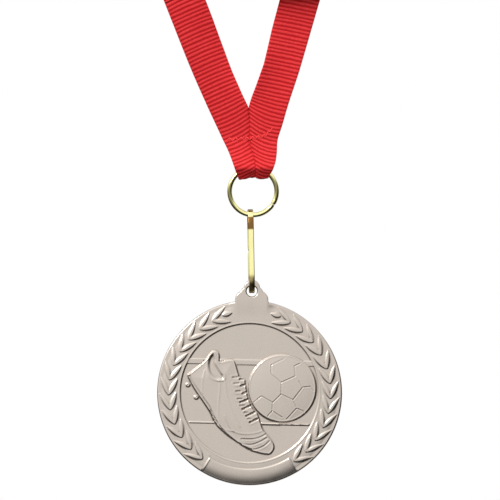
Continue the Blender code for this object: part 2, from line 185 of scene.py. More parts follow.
def face_outwards(thing):
    bpy.ops.object.select_all(action="DESELECT")
    thing.select_set(True)
    bpy.context.view_layer.objects.active = thing
    bpy.ops.object.mode_set(mode="EDIT")
    bpy.ops.mesh.select_all(action="SELECT")
    bpy.ops.mesh.normals_make_consistent(inside=False)
    bpy.ops.object.mode_set(mode="OBJECT")


def end_taper(count):
    """Factors along a path: 1 in the middle, rounding down over the last points at each end."""
    size = np.ones(count)
    for i in range(END_POINTS):
        size[i] = size[count - 1 - i] = END_SIZE + (1 - END_SIZE) * (i / END_POINTS) ** 0.5
    return size


def swept(name, path, section, side, look):
    """A closed solid: a section of (across, out) points carried along a path of points."""
    tangents = np.gradient(path, axis=0)
    tangents /= np.linalg.norm(tangents, axis=1, keepdims=True)
    side = np.broadcast_to(side, path.shape)
    side = side - (side * tangents).sum(1, keepdims=True) * tangents
    side /= np.linalg.norm(side, axis=1, keepdims=True)
    out = np.cross(tangents, side)
    section = np.asarray(section, float)
    spread = section[None, :, :1] * side[:, None] + section[None, :, 1:] * out[:, None]
    rings = path[:, None] + end_taper(len(path))[:, None, None] * spread
    made = mesh_object(name, rings.reshape(-1, 3), tube_faces(len(path), len(section)), look)
    face_outwards(made)
    return made


def vertex_places(thing):
    places = np.empty(len(thing.data.vertices) * 3)
    thing.data.vertices.foreach_get("co", places)
    return places.reshape(-1, 3)


def store_values(thing, name, values):
    """Keeps a number for each vertex, which the materials read by name."""
    thing.data.attributes.new(name, "FLOAT", "POINT").data.foreach_set("value", values)


# ---------------------------------------------------------------- node helpers


class Nodes:
    """A short way to write a node tree."""

    def __init__(self, tree):
        self.tree = tree

    def node(self, kind, **settings):
        made = self.tree.nodes.new(kind)
        for key, value in settings.items():
            setattr(made, key, value)
        return made

    def link(self, source, target):
        self.tree.links.new(source, target)

    def feed(self, socket, value):
        """Sets a socket from another node's socket or from a plain value."""
        if isinstance(value, bpy.types.NodeSocket):
            self.link(value, socket)
        elif socket.type == "RGBA":
            socket.default_value = (*value, 1.0)
        else:
            socket.default_value = value

    def add(self, kind, inputs, output=0, **settings):
        """A new node with its inputs fed by name or number. Returns one of its outputs."""
        made = self.node(kind, **settings)
        for name, value in inputs.items():
            self.feed(made.inputs[name], value)
        return made.outputs[output]

    def math(self, operation, a, b=0.0):
        return self.add("ShaderNodeMath", {0: a, 1: b}, operation=operation)

    def ranged(self, value, low, high, out_low, out_high, kind="LINEAR"):
        ends = {"From Min": low, "From Max": high, "To Min": out_low, "To Max": out_high}
        return self.add("ShaderNodeMapRange", {"Value": value, **ends}, interpolation_type=kind)

    def mix(self, share, a, b, kind="RGBA"):
        """Mixes two colours, or two numbers with the kind FLOAT."""
        first, output = (6, 2) if kind == "RGBA" else (2, 0)
        return self.add("ShaderNodeMix", {0: share, first: a, first + 1: b}, output, data_type=kind)


class Look(Nodes):
    """A material on one Principled shader."""

    def __init__(self, name):
        self.material = bpy.data.materials.new(name)
        self.material.use_nodes = True
        super().__init__(self.material.node_tree)
        self.shader = self.tree.nodes["Principled BSDF"]

    def set(self, **values):
        for name, value in values.items():
            self.feed(self.shader.inputs[name.replace("_", " ").title().replace("Ior", "IOR")], value)

    def attribute(self, name):
        return self.node("ShaderNodeAttribute", attribute_name=name).outputs["Fac"]

    def place(self):
        return self.node("ShaderNodeTexCoord").outputs["Object"]

    def cloth_place(self):
        """A vector of the way along a woven strip and the way across it, in millimetres."""
        return self.add("ShaderNodeCombineXYZ", {0: self.attribute("way"), 1: self.attribute("across")})

    def scaled(self, vector, scale):
        return self.add("ShaderNodeMapping", {"Vector": vector, "Scale": scale})

    def noise(self, vector, scale, detail=2.0, roughness=0.5):
        inputs = {"Vector": vector, "Scale": scale, "Detail": detail, "Roughness": roughness}
        return self.add("ShaderNodeTexNoise", inputs, "Fac")

    def waves(self, value, pitch):
        return self.math("SINE", self.math("MULTIPLY", value, 2 * pi / pitch))

    def bumped(self, height, distance, strength):
        inputs = {"Height": height, "Distance": distance, "Strength": strength}
        self.link(self.add("ShaderNodeBump", inputs), self.shader.inputs["Normal"])


# ---------------------------------------------------------------- camera and light

VIEW_WIDTH = 135.15 * MM
VIEW_CENTRE = Vector((0.0, 0.0, -80.2 * MM))
CAMERA_DISTANCE = 1.0
SENSOR = 36.0
FLOOR_DROP = 0.6
FLOOR_RADIUS = 0.4
FLOOR_SPOKES = 96
KEY_PLACE, KEY_SIZE, KEY_POWER = (-0.55, -0.75, 0.35), 0.35, 3.0

# What bright metal mirrors of the studio. A patch multiplies its light near one direction:
# (direction, cosine where the patch is full, cosine where it has faded out, factor)
STUDIO_PATCHES = (
    ((0.587, -0.643, -0.492), 0.93, 0.76, 0.12),  # the room in front, low on the right
    ((-0.5, -0.55, 0.65), 0.97, 0.60, 1.6),  # the lamp
    ((-1.0, 0.1, -0.45), 0.90, 0.68, 0.14),  # the room on the left
    ((-0.2, -0.3, -1.0), 0.80, 0.50, 0.08),  # the ground
    ((1.0, -0.15, -0.2), 0.86, 0.62, 0.09),  # the room on the right
    ((0.0, 1.0, 0.0), 0.85, 0.35, 0.5),  # the room behind
)
STUDIO_COLOUR = (1.0, 0.995, 0.985)
# Matt surfaces are lit from above: (lowest and highest direction's z, strengths there)
LIGHT_FROM_ABOVE = (-0.75, 0.9, 0.0, 1.9)


def add_camera():
    camera = bpy.data.cameras.new("camera")
    camera.sensor_width = SENSOR
    camera.lens = SENSOR * CAMERA_DISTANCE / VIEW_WIDTH
    camera.clip_start = 0.01
    made = bpy.data.objects.new("camera", camera)
    made.location = VIEW_CENTRE + Vector((0.0, -CAMERA_DISTANCE, 0.0))
    made.rotation_euler = (pi / 2, 0.0, 0.0)
    bpy.context.scene.collection.objects.link(made)
    bpy.context.scene.camera = made


def add_world():
    """A white studio, with its patches for mirrored rays and light from above for diffuse ones."""
    world = bpy.data.worlds.new("studio")
    bpy.context.scene.world = world
    world.use_nodes = True
    studio = Nodes(world.node_tree)
    studio.tree.nodes.clear()
    direction = studio.node("ShaderNodeTexCoord").outputs["Generated"]
    mirrored = 1.0
    for towards, full, faded, factor in STUDIO_PATCHES:
        ends = {0: direction, 1: Vector(towards).normalized()}
        facing = studio.add("ShaderNodeVectorMath", ends, "Value", operation="DOT_PRODUCT")
        patch = studio.ranged(facing, faded, full, 1.0, factor, "SMOOTHSTEP")
        mirrored = studio.math("MULTIPLY", mirrored, patch)
    height = studio.add("ShaderNodeSeparateXYZ", {0: direction}, "Z")
    from_above = studio.ranged(height, *LIGHT_FROM_ABOVE, "SMOOTHSTEP")
    ray = studio.node("ShaderNodeLightPath").outputs
    strength = studio.mix(ray["Is Diffuse Ray"], mirrored, from_above, "FLOAT")
    surroundings = studio.add("ShaderNodeBackground", {"Color": STUDIO_COLOUR, "Strength": strength})
    backdrop = studio.add("ShaderNodeBackground", {"Color": (1.0, 1.0, 1.0)})
    seen = studio.add("ShaderNodeMixShader", {0: ray["Is Camera Ray"], 1: surroundings, 2: backdrop})
    studio.link(seen, studio.node("ShaderNodeOutputWorld").inputs[0])


def add_key_light():
    light = bpy.data.lights.new("key", "AREA")
    light.shape = "DISK"
    light.size = KEY_SIZE
    light.energy = KEY_POWER
    made = bpy.data.objects.new("key", light)
    made.location = KEY_PLACE
    made.rotation_euler = (VIEW_CENTRE - Vector(KEY_PLACE)).to_track_quat("-Z", "Y").to_euler()
    bpy.context.scene.collection.objects.link(made)


def add_floor():
    look = Look("pale_floor")
    look.set(base_color=(0.86, 0.86, 0.85), roughness=0.8)
    height = DISC_LOW.z - FLOOR_DROP
    edge = [(x, y, height) for x, y in round_section(FLOOR_RADIUS, FLOOR_SPOKES)]
    floor = mesh_object("floor", edge, [range(FLOOR_SPOKES)], look.material)
    floor.visible_diffuse = False
    floor.visible_glossy = False


# ---------------------------------------------------------------- medal

# The sketch of the medal: x to the right, z up and height towards the viewer, from the disc's
# centre, in millimetres. A slope is (rise, start, end); a ridge or groove is (rise, half width)
# and, where it runs beside its line, the distance from it.
FIELD = 0.80
BEAD_RADIUS = 18.85
BEAD = (0.12, 0.30)
STEP = 0.2  # half the width of the step from the field up to the ground
FIELD_MARGIN = 0.25
GROUND_INNER, GROUND_OUTER = 0.98, 0.50
GROUND_START = 19.2
RISE_WIDTH = 0.3  # over which the wreath and the fan begin, outside GROUND_START
LUG_LEVEL = 1.15
BACK_LEVEL = -1.2
HOLE_RADIUS = 1.42
# The plug that cuts the hole: (how much wider than the hole, height)
HOLE_FRONT = ((0.6, 1.6), (0.28, 1.15), (0.12, 1.02), (0.0, 0.85))
HOLE_BACK = ((0.0, -0.85), (0.12, -1.07), (0.28, -1.2), (0.6, -1.6))
HOLE_SIDES = 64
# Circles whose outline is the lug: (x, z, radius)
CROWN = (0.0, 28.4, 2.15)
SHOULDERS = ((1.9, 25.1, 2.6), (-1.9, 25.1, 2.6), (1.25, 26.9, 1.85), (-1.25, 26.9, 1.85))
FAN_HALF_WIDTH = (4.1, 4.75)
FAN_SOFTNESS = ((20.0, 24.0), (0.9, 2.0))  # (radii, how softly its sides fall there)
FAN_CREST = 0.9
FAN_RISES = (20.5, 25.5)

LEAF_PAIRS = 12
LEAF_ARC = (119.0, 236.0)
STEM_RADIUS = 21.9
# (turn away from the stem in degrees, length, half width) of the two leaves of a pair
INNER_LEAF = (-30.0, 5.3, 0.72)
OUTER_LEAF = (20.0, 5.3, 0.66)
# The single leaf at the tip of each spray: (angle, radius, turn, length, half width)
TIP_LEAF = (radians(111), 22.3, 0.1, 3.0, 0.75)
LEAF_RISE = 0.24
LEAF_VEIN = (-0.05, 0.22)

BANNER_ARC = (239.0, 303.0)
BANNER_TOP = 20.6
BANNER_LEVEL, BANNER_DROP, BANNER_ROUND = 1.14, 0.72, 2.2
BANNER_STEP = 0.15
BANNER_END = 0.35
BANNER_HEM = (0.08, 0.35, 0.4)
BANNER_GUTTER = (0.05, 0.3)  # (depth, half the width of its ends)

UPPER_BAR = (7.55, 8.95)
BAR_RISE, BAR_STEP = 0.10, 0.12
LOWER_LINE = -8.25
LINE_RISE, LINE_HALF_WIDTH, LINE_REACH = 0.14, 0.32, 16.2
LINE_DEEPENS = (1.0, 4.0)

BALL_CENTRE = (8.8, 1.45)
BALL_RADIUS = 9.3
BALL_WALL = (0.26, 0.0, 0.35)
BALL_EDGE = (0.06, 0.3, 0.4)
BALL_DOME = 0.42
BALL_SEAM, SEAM_SIDE = (-0.08, 0.2), (0.02, 0.2, 0.3)
SEAM_END = 0.3  # inside the ball's edge
BALL_SEAMS = (
    ((5.7, 7.7), (9.1, 9.5)),
    ((5.7, 7.7), (5.7, 5.2), (8.5, 3.0)),
    ((13.5, 8.3), (11.9, 7.5), (12.2, 4.8), (8.5, 3.0), (8.5, -0.2), (6.3, -2.5), (6.2, -4.8)),
    ((8.5, -0.2), (11.8, -1.6), (12.8, -3.6)),
    ((12.8, -3.9), (10.2, -6.9)),
    ((12.8, -3.9), (14.6, -4.6), (14.9, -5.5)),
    ((13.2, 3.5), (14.3, 1.8), (16.3, 2.1), (17.3, 0.9)),
    ((14.3, 1.8), (11.8, -1.6)),
    ((1.2, -2.5), (3.2, -0.8), (6.3, -2.5)),
    ((5.0, -6.2), (6.2, -4.8), (8.9, -6.4)),
)

BOOT_OUTLINE = (
    (-16.9, 4.7), (-15.9, 5.5), (-13.3, 7.7), (-11.5, 9.6), (-10.5, 10.9), (-9.6, 11.3), (-8.7, 10.9),
    (-8.25, 10.0), (-8.1, 8.4), (-6.9, 8.7), (-5.5, 9.0), (-4.4, 8.8), (-3.9, 8.0), (-3.1, 5.4),
    (-2.6, 4.3), (-1.4, 3.9), (-1.0, 2.4), (-0.3, -1.2), (1.3, -4.5), (2.3, -5.4), (3.2, -7.8),
    (3.9, -9.6), (4.9, -11.0), (6.0, -12.3), (6.8, -13.4), (7.1, -14.5), (6.7, -15.7), (5.5, -16.6),
    (2.5, -16.2), (-0.9, -14.9), (-5.3, -12.1), (-8.4, -9.4), (-9.8, -7.5), (-10.7, -5.6),
    (-12.6, -2.8), (-14.7, 0.1), (-16.6, 3.4),
)
SOLE_LINE = (
    (-16.2, 4.2), (-15.1, 2.1), (-12.2, -2.0), (-10.7, -4.0), (-9.8, -5.9), (-7.8, -9.3), (-4.8, -12.1),
    (-2.4, -13.8), (0.8, -15.3),
)
STUDS = ((-16.7, 1.8), (-14.4, -1.5))
COLLAR = (
    (-10.0, 10.3), (-10.9, 9.5), (-11.4, 7.9), (-11.3, 6.0), (-10.7, 4.5), (-9.5, 3.6), (-8.3, 3.4),
    (-7.2, 3.5), (-7.1, 4.5), (-7.8, 5.5), (-8.7, 6.9), (-9.2, 7.9), (-9.4, 9.1),
)
BOOT_SEAMS = (
    ((-12.2, 5.9), (-12.8, 2.9), (-12.9, 0.2), (-12.7, -1.5)),
    ((-8.3, 3.2), (-8.1, 1.7), (-8.4, -3.6), (-8.4, -6.8), (-7.3, -9.6)),
    ((-6.8, 3.1), (-6.1, -1.3), (-4.4, -5.6), (-2.4, -9.2)),
    ((-6.6, -6.3), (-5.4, -8.7), (-3.7, -10.6), (-0.4, -11.05), (2.4, -10.6), (3.6, -10.1)),
    ((-8.2, -8.5), (-6.5, -9.9), (-4.0, -10.4)),
)
TOE_GROOVES = (
    ((4.6, -11.1), (2.9, -12.0), (0.8, -12.5), (-2.0, -12.5)),
    ((4.9, -12.1), (3.0, -13.2), (0.5, -14.0), (-3.0, -13.6)),
    ((5.7, -12.9), (4.1, -14.3), (1.9, -15.2), (0.2, -15.2)),
)
# Each lace gap: its left end, its shallow part's end, its deep part's start and its right end.
LACE_GAPS = (
    ((-4.6, 4.0), (-3.1, 4.2), (-2.7, 3.6), (-1.5, 3.7)),
    ((-4.2, 2.4), (-3.0, 2.5), (-2.3, 1.8), (-1.1, 2.2)),
    ((-3.6, 0.3), (-2.5, 0.4), (-1.8, -0.3), (-0.8, 0.2)),
    ((-3.1, -1.7), (-2.0, -1.7), (-2.4, -2.6), (-0.3, -1.8)),
    ((-2.4, -3.5), (-1.2, -3.5), (-1.8, -4.5), (0.4, -3.4)),
    ((-1.2, -5.4), (-0.2, -5.4), (-0.7, -6.3), (1.7, -5.1)),
    ((-0.2, -7.0), (0.6, -7.1), (0.3, -8.0), (2.2, -7.0)),
)
BOOT_WALL = (0.30, 0.0, 0.4)
BOOT_CROWN = (0.20, 0.4, 4.5)
BOOT_EDGE = (0.06, 0.30, 0.40)
SOLE_GROOVE, SOLE_SIDE = (-0.10, 0.22), (0.05, 0.3, 0.42)
COLLAR_HOLLOW, COLLAR_EDGE = (-0.26, 0.0, 0.55), (0.07, 0.3, -0.3)
BOOT_SEAM = (0.055, 0.30)
TOE_GROOVE, TOE_FOLD = (-0.07, 0.25), (0.03, 0.35, 0.4)
LACE_GROOVE, LACE_SIDE = (-0.06, 0.3), (0.04, 0.45, 0.55)
LACE_GAP, GAP_SIDE = (-0.32, 0.32), (0.03, 0.35, 0.5)
STUD_RISE, STUD_WALL, STUD_DIMPLE = 0.30, (0.35, 0.7), (-0.12, 0.35)

FRONT_CELLS = 132
OUTER_SHARE = 0.84  # of the disc's radius: beyond it, the grid stretches out to the outline
EDGE_ROUND, EDGE_STEPS = 0.45, 5
BACK_ROUND, BACK_STEPS = 0.35, 4
# The turned back, with a low bead near its edge: (radius, height)
BACK_RINGS = ((23.6, 0.0), (23.35, 0.12), (23.1, 0.0), (16.0, 0.0), (8.0, 0.0), (2.0, 0.0))
CAVITY_PASSES, CAVITY_REACH = 5, 0.12

NICKEL_WARM, NICKEL_COOL = (0.60, 0.52, 0.467), (0.56, 0.515, 0.458)
# The colour of the painted shade in the struck recesses.
NICKEL_RECESS_SHADE = (0.43, 0.36, 0.31)


def slope(value, rise, start, end):
    return rise * smooth(value, start, end)


def stroke(distance, rise, half_width, offset=0.0):
    """A rounded ridge along a line, or a groove where the rise is negative."""
    return rise * bump(distance - offset, half_width)


def band(value, low, high, step):
    """1 between low and high, with a soft step at each."""
    return smooth(value, low - step, low + step) * (1 - smooth(value, high - step, high + step))


def outline_radius(angle):
    """Distance from the disc's centre to the medal's outline, with the bell-shaped lug."""
    reach = np.full(angle.shape, DISC_RADIUS)
    for x, z, radius in (CROWN, *SHOULDERS):
        along = x * np.cos(angle) + z * np.sin(angle)
        off = x * x + z * z - along * along
        hit = (off < radius * radius) & (along > 0)
        reach = np.maximum(reach, np.where(hit, along + np.sqrt(np.maximum(radius**2 - off, 0.0)), 0.0))
    return reach


def leaf_rise(x, z, root, direction, length, half_width):
    """The height that one almond leaf adds: steep at its edges, with a fine middle vein."""
    along = (x - root[0]) * cos(direction) + (z - root[1]) * sin(direction)
    across = -(x - root[0]) * sin(direction) + (z - root[1]) * cos(direction)
    share = np.clip(along / length, 0.0, 1.0)
    across = across / (half_width * np.sin(pi * share**0.85) ** 0.8 + 1e-3)
    inside = (along > 0) & (along < length) & (np.abs(across) < 1)
    crown = np.clip(1 - across**2, 0.0, 1.0) ** 0.75
    rise = LEAF_RISE * (0.55 + 0.45 * np.sin(pi * share)) * crown + stroke(across, *LEAF_VEIN)
    return np.where(inside, rise, 0.0)


def wreath_rise(x, z):
    """Two mirrored sprays of leaves in pairs, each with a single leaf at its tip."""
    leaves = []
    start, end = LEAF_ARC
    for i in range(LEAF_PAIRS):
        angle = radians(start + (end - start) * i / (LEAF_PAIRS - 1))
        root = (STEM_RADIUS * cos(angle), STEM_RADIUS * sin(angle))
        for turn, length, half_width in (INNER_LEAF, OUTER_LEAF):
            leaves.append((root, angle - pi / 2 + radians(turn), length, half_width))
    tip, radius, turn, length, half_width = TIP_LEAF
    root = (radius * cos(tip), radius * sin(tip))
    leaves.append((root, tip - pi / 2 - turn, length, half_width))
    rise = np.zeros(x.shape)
    for mirror in (1, -1):
        for leaf in leaves:
            rise = np.maximum(rise, leaf_rise(mirror * x, z, *leaf))
    return rise


def boot_height(x, z):
    """The football boot, and how deep each point lies inside its outline."""
    depth = depth_inside(curve_through(BOOT_OUTLINE, closed=True, steps=5), x, z)
    height = FIELD + slope(depth, *BOOT_WALL) + slope(depth, *BOOT_CROWN)
    height += stroke(depth, *BOOT_EDGE)
    inner = depth > 0
    sole = distance_to(curve_through(SOLE_LINE), x, z)
    height += stroke(sole, *SOLE_GROOVE) * inner
    height += stroke(sole, *SOLE_SIDE) * inner
    collar = depth_inside(curve_through(COLLAR, closed=True, steps=5), x, z)
    height += slope(collar, *COLLAR_HOLLOW)
    height += stroke(collar, *COLLAR_EDGE)
    for seam in BOOT_SEAMS:
        away = distance_to(curve_through(seam), x, z)
        height += stroke(away, *BOOT_SEAM) * inner
    for groove in TOE_GROOVES:
        away = distance_to(curve_through(groove), x, z)
        height += (stroke(away, *TOE_FOLD) + stroke(away, *TOE_GROOVE)) * inner
    for left, left_end, right_start, right in LACE_GAPS:
        shallow = distance_to((left, left_end), x, z)
        deep = distance_to((right_start, right), x, z)
        height += (stroke(shallow, *LACE_SIDE) + stroke(shallow, *LACE_GROOVE)) * inner
        height += stroke(deep, *GAP_SIDE) * inner + stroke(deep, *LACE_GAP)
    return height, depth


def ball_height(x, z):
    """The football, and how deep each point lies inside its outline."""
    away = np.hypot(x - BALL_CENTRE[0], z - BALL_CENTRE[1])
    depth = BALL_RADIUS - away
    height = FIELD + slope(depth, *BALL_WALL) + stroke(depth, *BALL_EDGE)
    height += BALL_DOME * np.clip(1 - (away / BALL_RADIUS) ** 2, 0.0, 1.0)
    for seam in BALL_SEAMS:
        seam_away = distance_to(seam, x, z)
        seam_rise = stroke(seam_away, *SEAM_SIDE) + stroke(seam_away, *BALL_SEAM)
        height += np.where(depth > SEAM_END, seam_rise, 0)
    return height, depth


def field_height(x, z, radius):
    """The sunk field with its lines, the boot and the ball, and the plain ground round it."""
    outwards = np.clip((radius - GROUND_START) / (DISC_RADIUS - GROUND_START), 0.0, 1.3)
    ground = GROUND_INNER - (GROUND_INNER - GROUND_OUTER) * outwards**4
    height = FIELD + (ground - FIELD) * smooth(radius, BEAD_RADIUS - STEP, BEAD_RADIUS + STEP)
    field = radius < BEAD_RADIUS - FIELD_MARGIN
    height += BAR_RISE * band(z, *UPPER_BAR, BAR_STEP) * field
    line_rise = LINE_RISE + slope(x, LINE_RISE, *LINE_DEEPENS)
    height += line_rise * bump(z - LOWER_LINE, LINE_HALF_WIDTH) * (np.abs(x) < LINE_REACH) * field
    ball, ball_depth = ball_height(x, z)
    height = np.where(ball_depth > 0, np.maximum(ball, height), height)
    boot, boot_depth = boot_height(x, z)
    height = np.where(boot_depth > 0, boot, height)
    for stud in STUDS:
        away = np.hypot(x - stud[0], z - stud[1])
        stud_height = FIELD + STUD_RISE * (1 - smooth(away, *STUD_WALL)) + stroke(away, *STUD_DIMPLE)
        height = np.maximum(height, stud_height)
    return height + stroke(radius - BEAD_RADIUS, *BEAD)


def with_banner(height, x, z, radius):
    """Lays the waving banner over the ground, with a shallow gutter above it."""
    angle = np.degrees(np.arctan2(z, x)) % 360
    middle, half = sum(BANNER_ARC) / 2, (BANNER_ARC[1] - BANNER_ARC[0]) / 2
    from_end = (half - np.abs((angle - middle + 180) % 360 - 180)) * radians(1) * radius
    top, bottom = BANNER_TOP - BANNER_STEP, BANNER_TOP + BANNER_STEP
    inside = smooth(from_end, 0.0, BANNER_END) * smooth(radius, top, bottom)
    down = np.clip((radius - BANNER_TOP) / (DISC_RADIUS - BANNER_TOP), 0.0, 1.0)
    banner = BANNER_LEVEL - BANNER_DROP * down**BANNER_ROUND + stroke(from_end, *BANNER_HEM)
    height = height + (banner - height) * inside
    depth, end = BANNER_GUTTER
    gutter = smooth(radius, GROUND_START, top) * smooth(from_end, -end, end)
    return np.where(radius < BANNER_TOP, height - depth * gutter, height)


def face_height(x, z):
    """The struck front: height above the disc's middle plane at each point."""
    radius = np.hypot(x, z)
    outside = smooth(radius, GROUND_START, GROUND_START + RISE_WIDTH)
    height = field_height(x, z, radius) + wreath_rise(x, z) * outside
    height = with_banner(height, x, z, radius)
    fan_half = np.interp(radius, (GROUND_START, DISC_RADIUS), FAN_HALF_WIDTH)
    softness = np.interp(radius, *FAN_SOFTNESS)
    fan = smooth(fan_half - np.abs(x), -softness, FAN_CREST) * outside * (z > 0)
    fan_level = GROUND_INNER + (LUG_LEVEL - GROUND_INNER) * smooth(radius, *FAN_RISES)
    return height + (fan_level - height) * fan


def front_grid():
    """A square grid bent onto the disc and stretched into the lug: its points and angles."""
    line = np.linspace(-1.0, 1.0, 2 * FRONT_CELLS + 1)
    across, up = np.meshgrid(line, line)
    wide = np.abs(across) > np.abs(up)
    share = np.where(wide, across, up)
    safe = np.where(share == 0, 1.0, share)
    turn = np.where(wide, pi / 4 * up / safe, pi / 2 - pi / 4 * across / safe)
    angle = np.arctan2(share * np.sin(turn), share * np.cos(turn))
    share = np.abs(share)
    reach = outline_radius(angle) - EDGE_ROUND
    full = DISC_RADIUS - EDGE_ROUND
    inner = OUTER_SHARE * full
    outwards = np.clip((share - OUTER_SHARE) / (1 - OUTER_SHARE), 0.0, 1.0)
    radius = np.where(share < OUTER_SHARE, share * full, inner + (reach - inner) * outwards)
    x, z = radius * np.cos(angle), radius * np.sin(angle)
    return np.stack([x, -face_height(x, z), z], -1), angle


def ring_points(reach, height, angle):
    height = np.broadcast_to(height, reach.shape)
    return np.stack([reach * np.cos(angle), -height, reach * np.sin(angle)], -1)


def edge_and_back(edge_height, angle):
    """Rings of points from the front's edge round the rim and in over the back."""
    outline = outline_radius(angle)
    rings = []
    for step in range(1, EDGE_STEPS + 1):
        turn = pi / 2 * step / EDGE_STEPS
        height = edge_height - EDGE_ROUND * (1 - cos(turn))
        rings.append(ring_points(outline - EDGE_ROUND * (1 - sin(turn)), height, angle))
    waist = (edge_height - EDGE_ROUND) / 2 + (BACK_LEVEL + BACK_ROUND) / 2
    rings.append(ring_points(outline, waist, angle))
    for step in range(BACK_STEPS + 1):
        turn = pi / 2 * step / BACK_STEPS
        height = BACK_LEVEL + BACK_ROUND * (1 - sin(turn))
        rings.append(ring_points(outline - BACK_ROUND * (1 - cos(turn)), height, angle))
    for radius, height in BACK_RINGS:
        rings.append(ring_points(np.full(angle.shape, radius), BACK_LEVEL + height, angle))
    return rings


def medal_mesh():
    """The struck front, closed round the rim and over the back."""
    front, angle = front_grid()
    size = len(front)
    index = np.arange(size * size).reshape(size, size)
    loop = np.concatenate([index[0, :-1], index[:-1, -1], index[-1, :0:-1], index[:0:-1, 0]])
    front = front.reshape(-1, 3)
    rings = edge_and_back(-front[loop, 1], angle.reshape(-1)[loop])
    vertices = np.concatenate([front, *rings, [[0.0, -BACK_LEVEL, 0.0]]])
    count, first = len(loop), size * size
    outer = first + np.arange(count)
    faces = grid_faces(size, size)
    faces += list(np.stack([loop, np.roll(loop, -1), np.roll(outer, -1), outer], -1))
    faces += grid_faces(len(rings), count, wrap_columns=True, first=first)
    last, middle = first + (len(rings) - 1) * count, len(vertices) - 1
    faces += [[last + i, last + (i + 1) % count, middle] for i in range(count)]
    return vertices, faces


def hole_cutter():
    """A waisted plug that leaves the lug's hole with rounded edges."""
    profile = (*HOLE_FRONT, *HOLE_BACK)
    vertices = []
    for flare, height in profile:
        for x, z in round_section(HOLE_RADIUS + flare, HOLE_SIDES):
            vertices.append((x, -height, HOLE_HEIGHT + z))
    cutter = mesh_object("hole_cutter", vertices, tube_faces(len(profile), HOLE_SIDES))
    face_outwards(cutter)
    return cutter


def cut_away(target, cutter):
    modifier = target.modifiers.new("cut", "BOOLEAN")
    modifier.operation = "DIFFERENCE"
    modifier.solver = "MANIFOLD"
    modifier.object = cutter
    bpy.context.view_layer.objects.active = target
    bpy.ops.object.modifier_apply(modifier=modifier.name)
    bpy.data.objects.remove(cutter, do_unlink=True)


def neighbour_average(values, edges, passes):
    """Each vertex's value averaged with its neighbours, several times over."""
    count = len(values)
    links = np.bincount(edges.ravel(), minlength=count) + 1.0
    for _ in range(passes):
        total = values.copy()
        total += np.bincount(edges[:, 0], weights=values[edges[:, 1]], minlength=count)
        total += np.bincount(edges[:, 1], weights=values[edges[:, 0]], minlength=count)
        values = total / links
    return values


def store_cavity(medal):
    """Stores how far each vertex lies below (0) or above (1) its surroundings."""
    height = -vertex_places(medal)[:, 1]
    edges = np.empty(len(medal.data.edges) * 2, int)
    medal.data.edges.foreach_get("vertices", edges)
    around = neighbour_average(height, edges.reshape(-1, 2), CAVITY_PASSES)
    store_values(medal, "cavity", np.clip(0.5 + (height - around) / CAVITY_REACH, 0.0, 1.0))


def nickel_look():
    """Bright struck nickel: smoother on its worn ridges, with shade painted darker into its recesses."""
    look = Look("struck_nickel")
    place = look.place()
    cavity = look.attribute("cavity")
    grain = look.noise(place, 5200, 3.0, 0.6)
    mottle = look.noise(place, 110, 3.0, 0.55)
    smear = look.noise(look.scaled(place, (1.0, 1.0, 0.35)), 420, 2.0)
    clean = look.mix(mottle, NICKEL_WARM, NICKEL_COOL)
    worn = look.ranged(cavity, 0.45, 0.75, 0.28, 0.18)
    look.set(
        base_color=look.mix(look.ranged(cavity, 0.02, 0.34, 1.0, 0.0), clean, NICKEL_RECESS_SHADE),
        metallic=1.0,
        roughness=look.math("ADD", worn, look.ranged(smear, 0.3, 0.7, -0.03, 0.03)),
    )
    look.bumped(grain, 0.006 * MM, 0.6)
    return look.material


def add_medal():
    vertices, faces = medal_mesh()
    medal = mesh_object("medal_face_and_back", vertices, faces, nickel_look())
    face_outwards(medal)
    cut_away(medal, hole_cutter())
    medal.data.shade_smooth()
    medal.data.set_sharp_from_angle(angle=radians(50))
    store_cavity(medal)
    medal.data.transform(Matrix.Scale(MM, 4))
    medal.data.transform(Matrix.Rotation(MEDAL_TILT, 4, "Y"))
    medal.data.transform(Matrix.Translation(DISC_CENTRE))
    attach(medal, "medal")
    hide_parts("medal_disc")


# ---------------------------------------------------------------- ring and link

RING_JOINT = radians(-33)
RING_GAP = 0.09 * MM
RING_STEPS, WIRE_SIDES = 220, 24
# The colour of the ring's painted dark reflection.
RING_REFLECTION_DARK = (0.15, 0.135, 0.05)
# The band of painted dark reflection round it, in shares of the wire's radius: its least half width and
# how much wider it is at the sides, how far it sways out and in, and how it fades at its two edges
BAND_LEAST, BAND_MORE, BAND_SWAY, BAND_SOFTNESS = 0.28, 0.30, 0.62, (0.12, 0.25)
BAND_SHARE = 0.88

LINK_STRIP = (1.5, 0.7)
LINK_CORNER = 0.24
LINK_HALF_DEPTH = 2.8
LINK_END = 4.9
LINK_YAW = radians(3)
LINK_LEAN = radians(-1.14)
LINK_GAP = 0.2
# The colour of the link's painted dark reflection.
LINK_REFLECTION_DARK = (0.19, 0.085, 0.02)
# Where its painted dark reflections fade out and in: ways down from the link's top, and off its middle
# line
REFLECTION_TIP_END, REFLECTION_START, REFLECTION_END, REFLECTION_FOOT = (0.3, 0.6), (1.8, 2.2), (5.3, 5.6), (17.3, 18.6)
REFLECTION_SHARE, EDGE_SHARE, REFLECTION_FOOT_SHARE = 0.74, 0.22, 0.75
REFLECTION_EDGES = (0.15, 0.5)

BRASS_PALE, BRASS_DEEP = (1.0, 0.97, 0.48), (0.96, 0.86, 0.37)
HARD_EDGE = radians(60)


def brass_look(name, painted_dark):
    """Thin brass plating, with dark reflections painted into its colour where the attribute is high."""
    look = Look(name)
    place = look.place()
    tarnish = look.noise(place, 320, 3.0, 0.6)
    fine = look.noise(place, 2600, 2.0)
    clean = look.mix(look.ranged(tarnish, 0.35, 0.75, 0.0, 1.0), BRASS_PALE, BRASS_DEEP)
    look.set(
        base_color=look.mix(look.attribute("painted_reflection"), clean, painted_dark),
        metallic=1.0,
        roughness=look.ranged(tarnish, 0.3, 0.7, 0.06, 0.12),
    )
    look.bumped(fine, 0.01 * MM, 0.5)
    return look.material


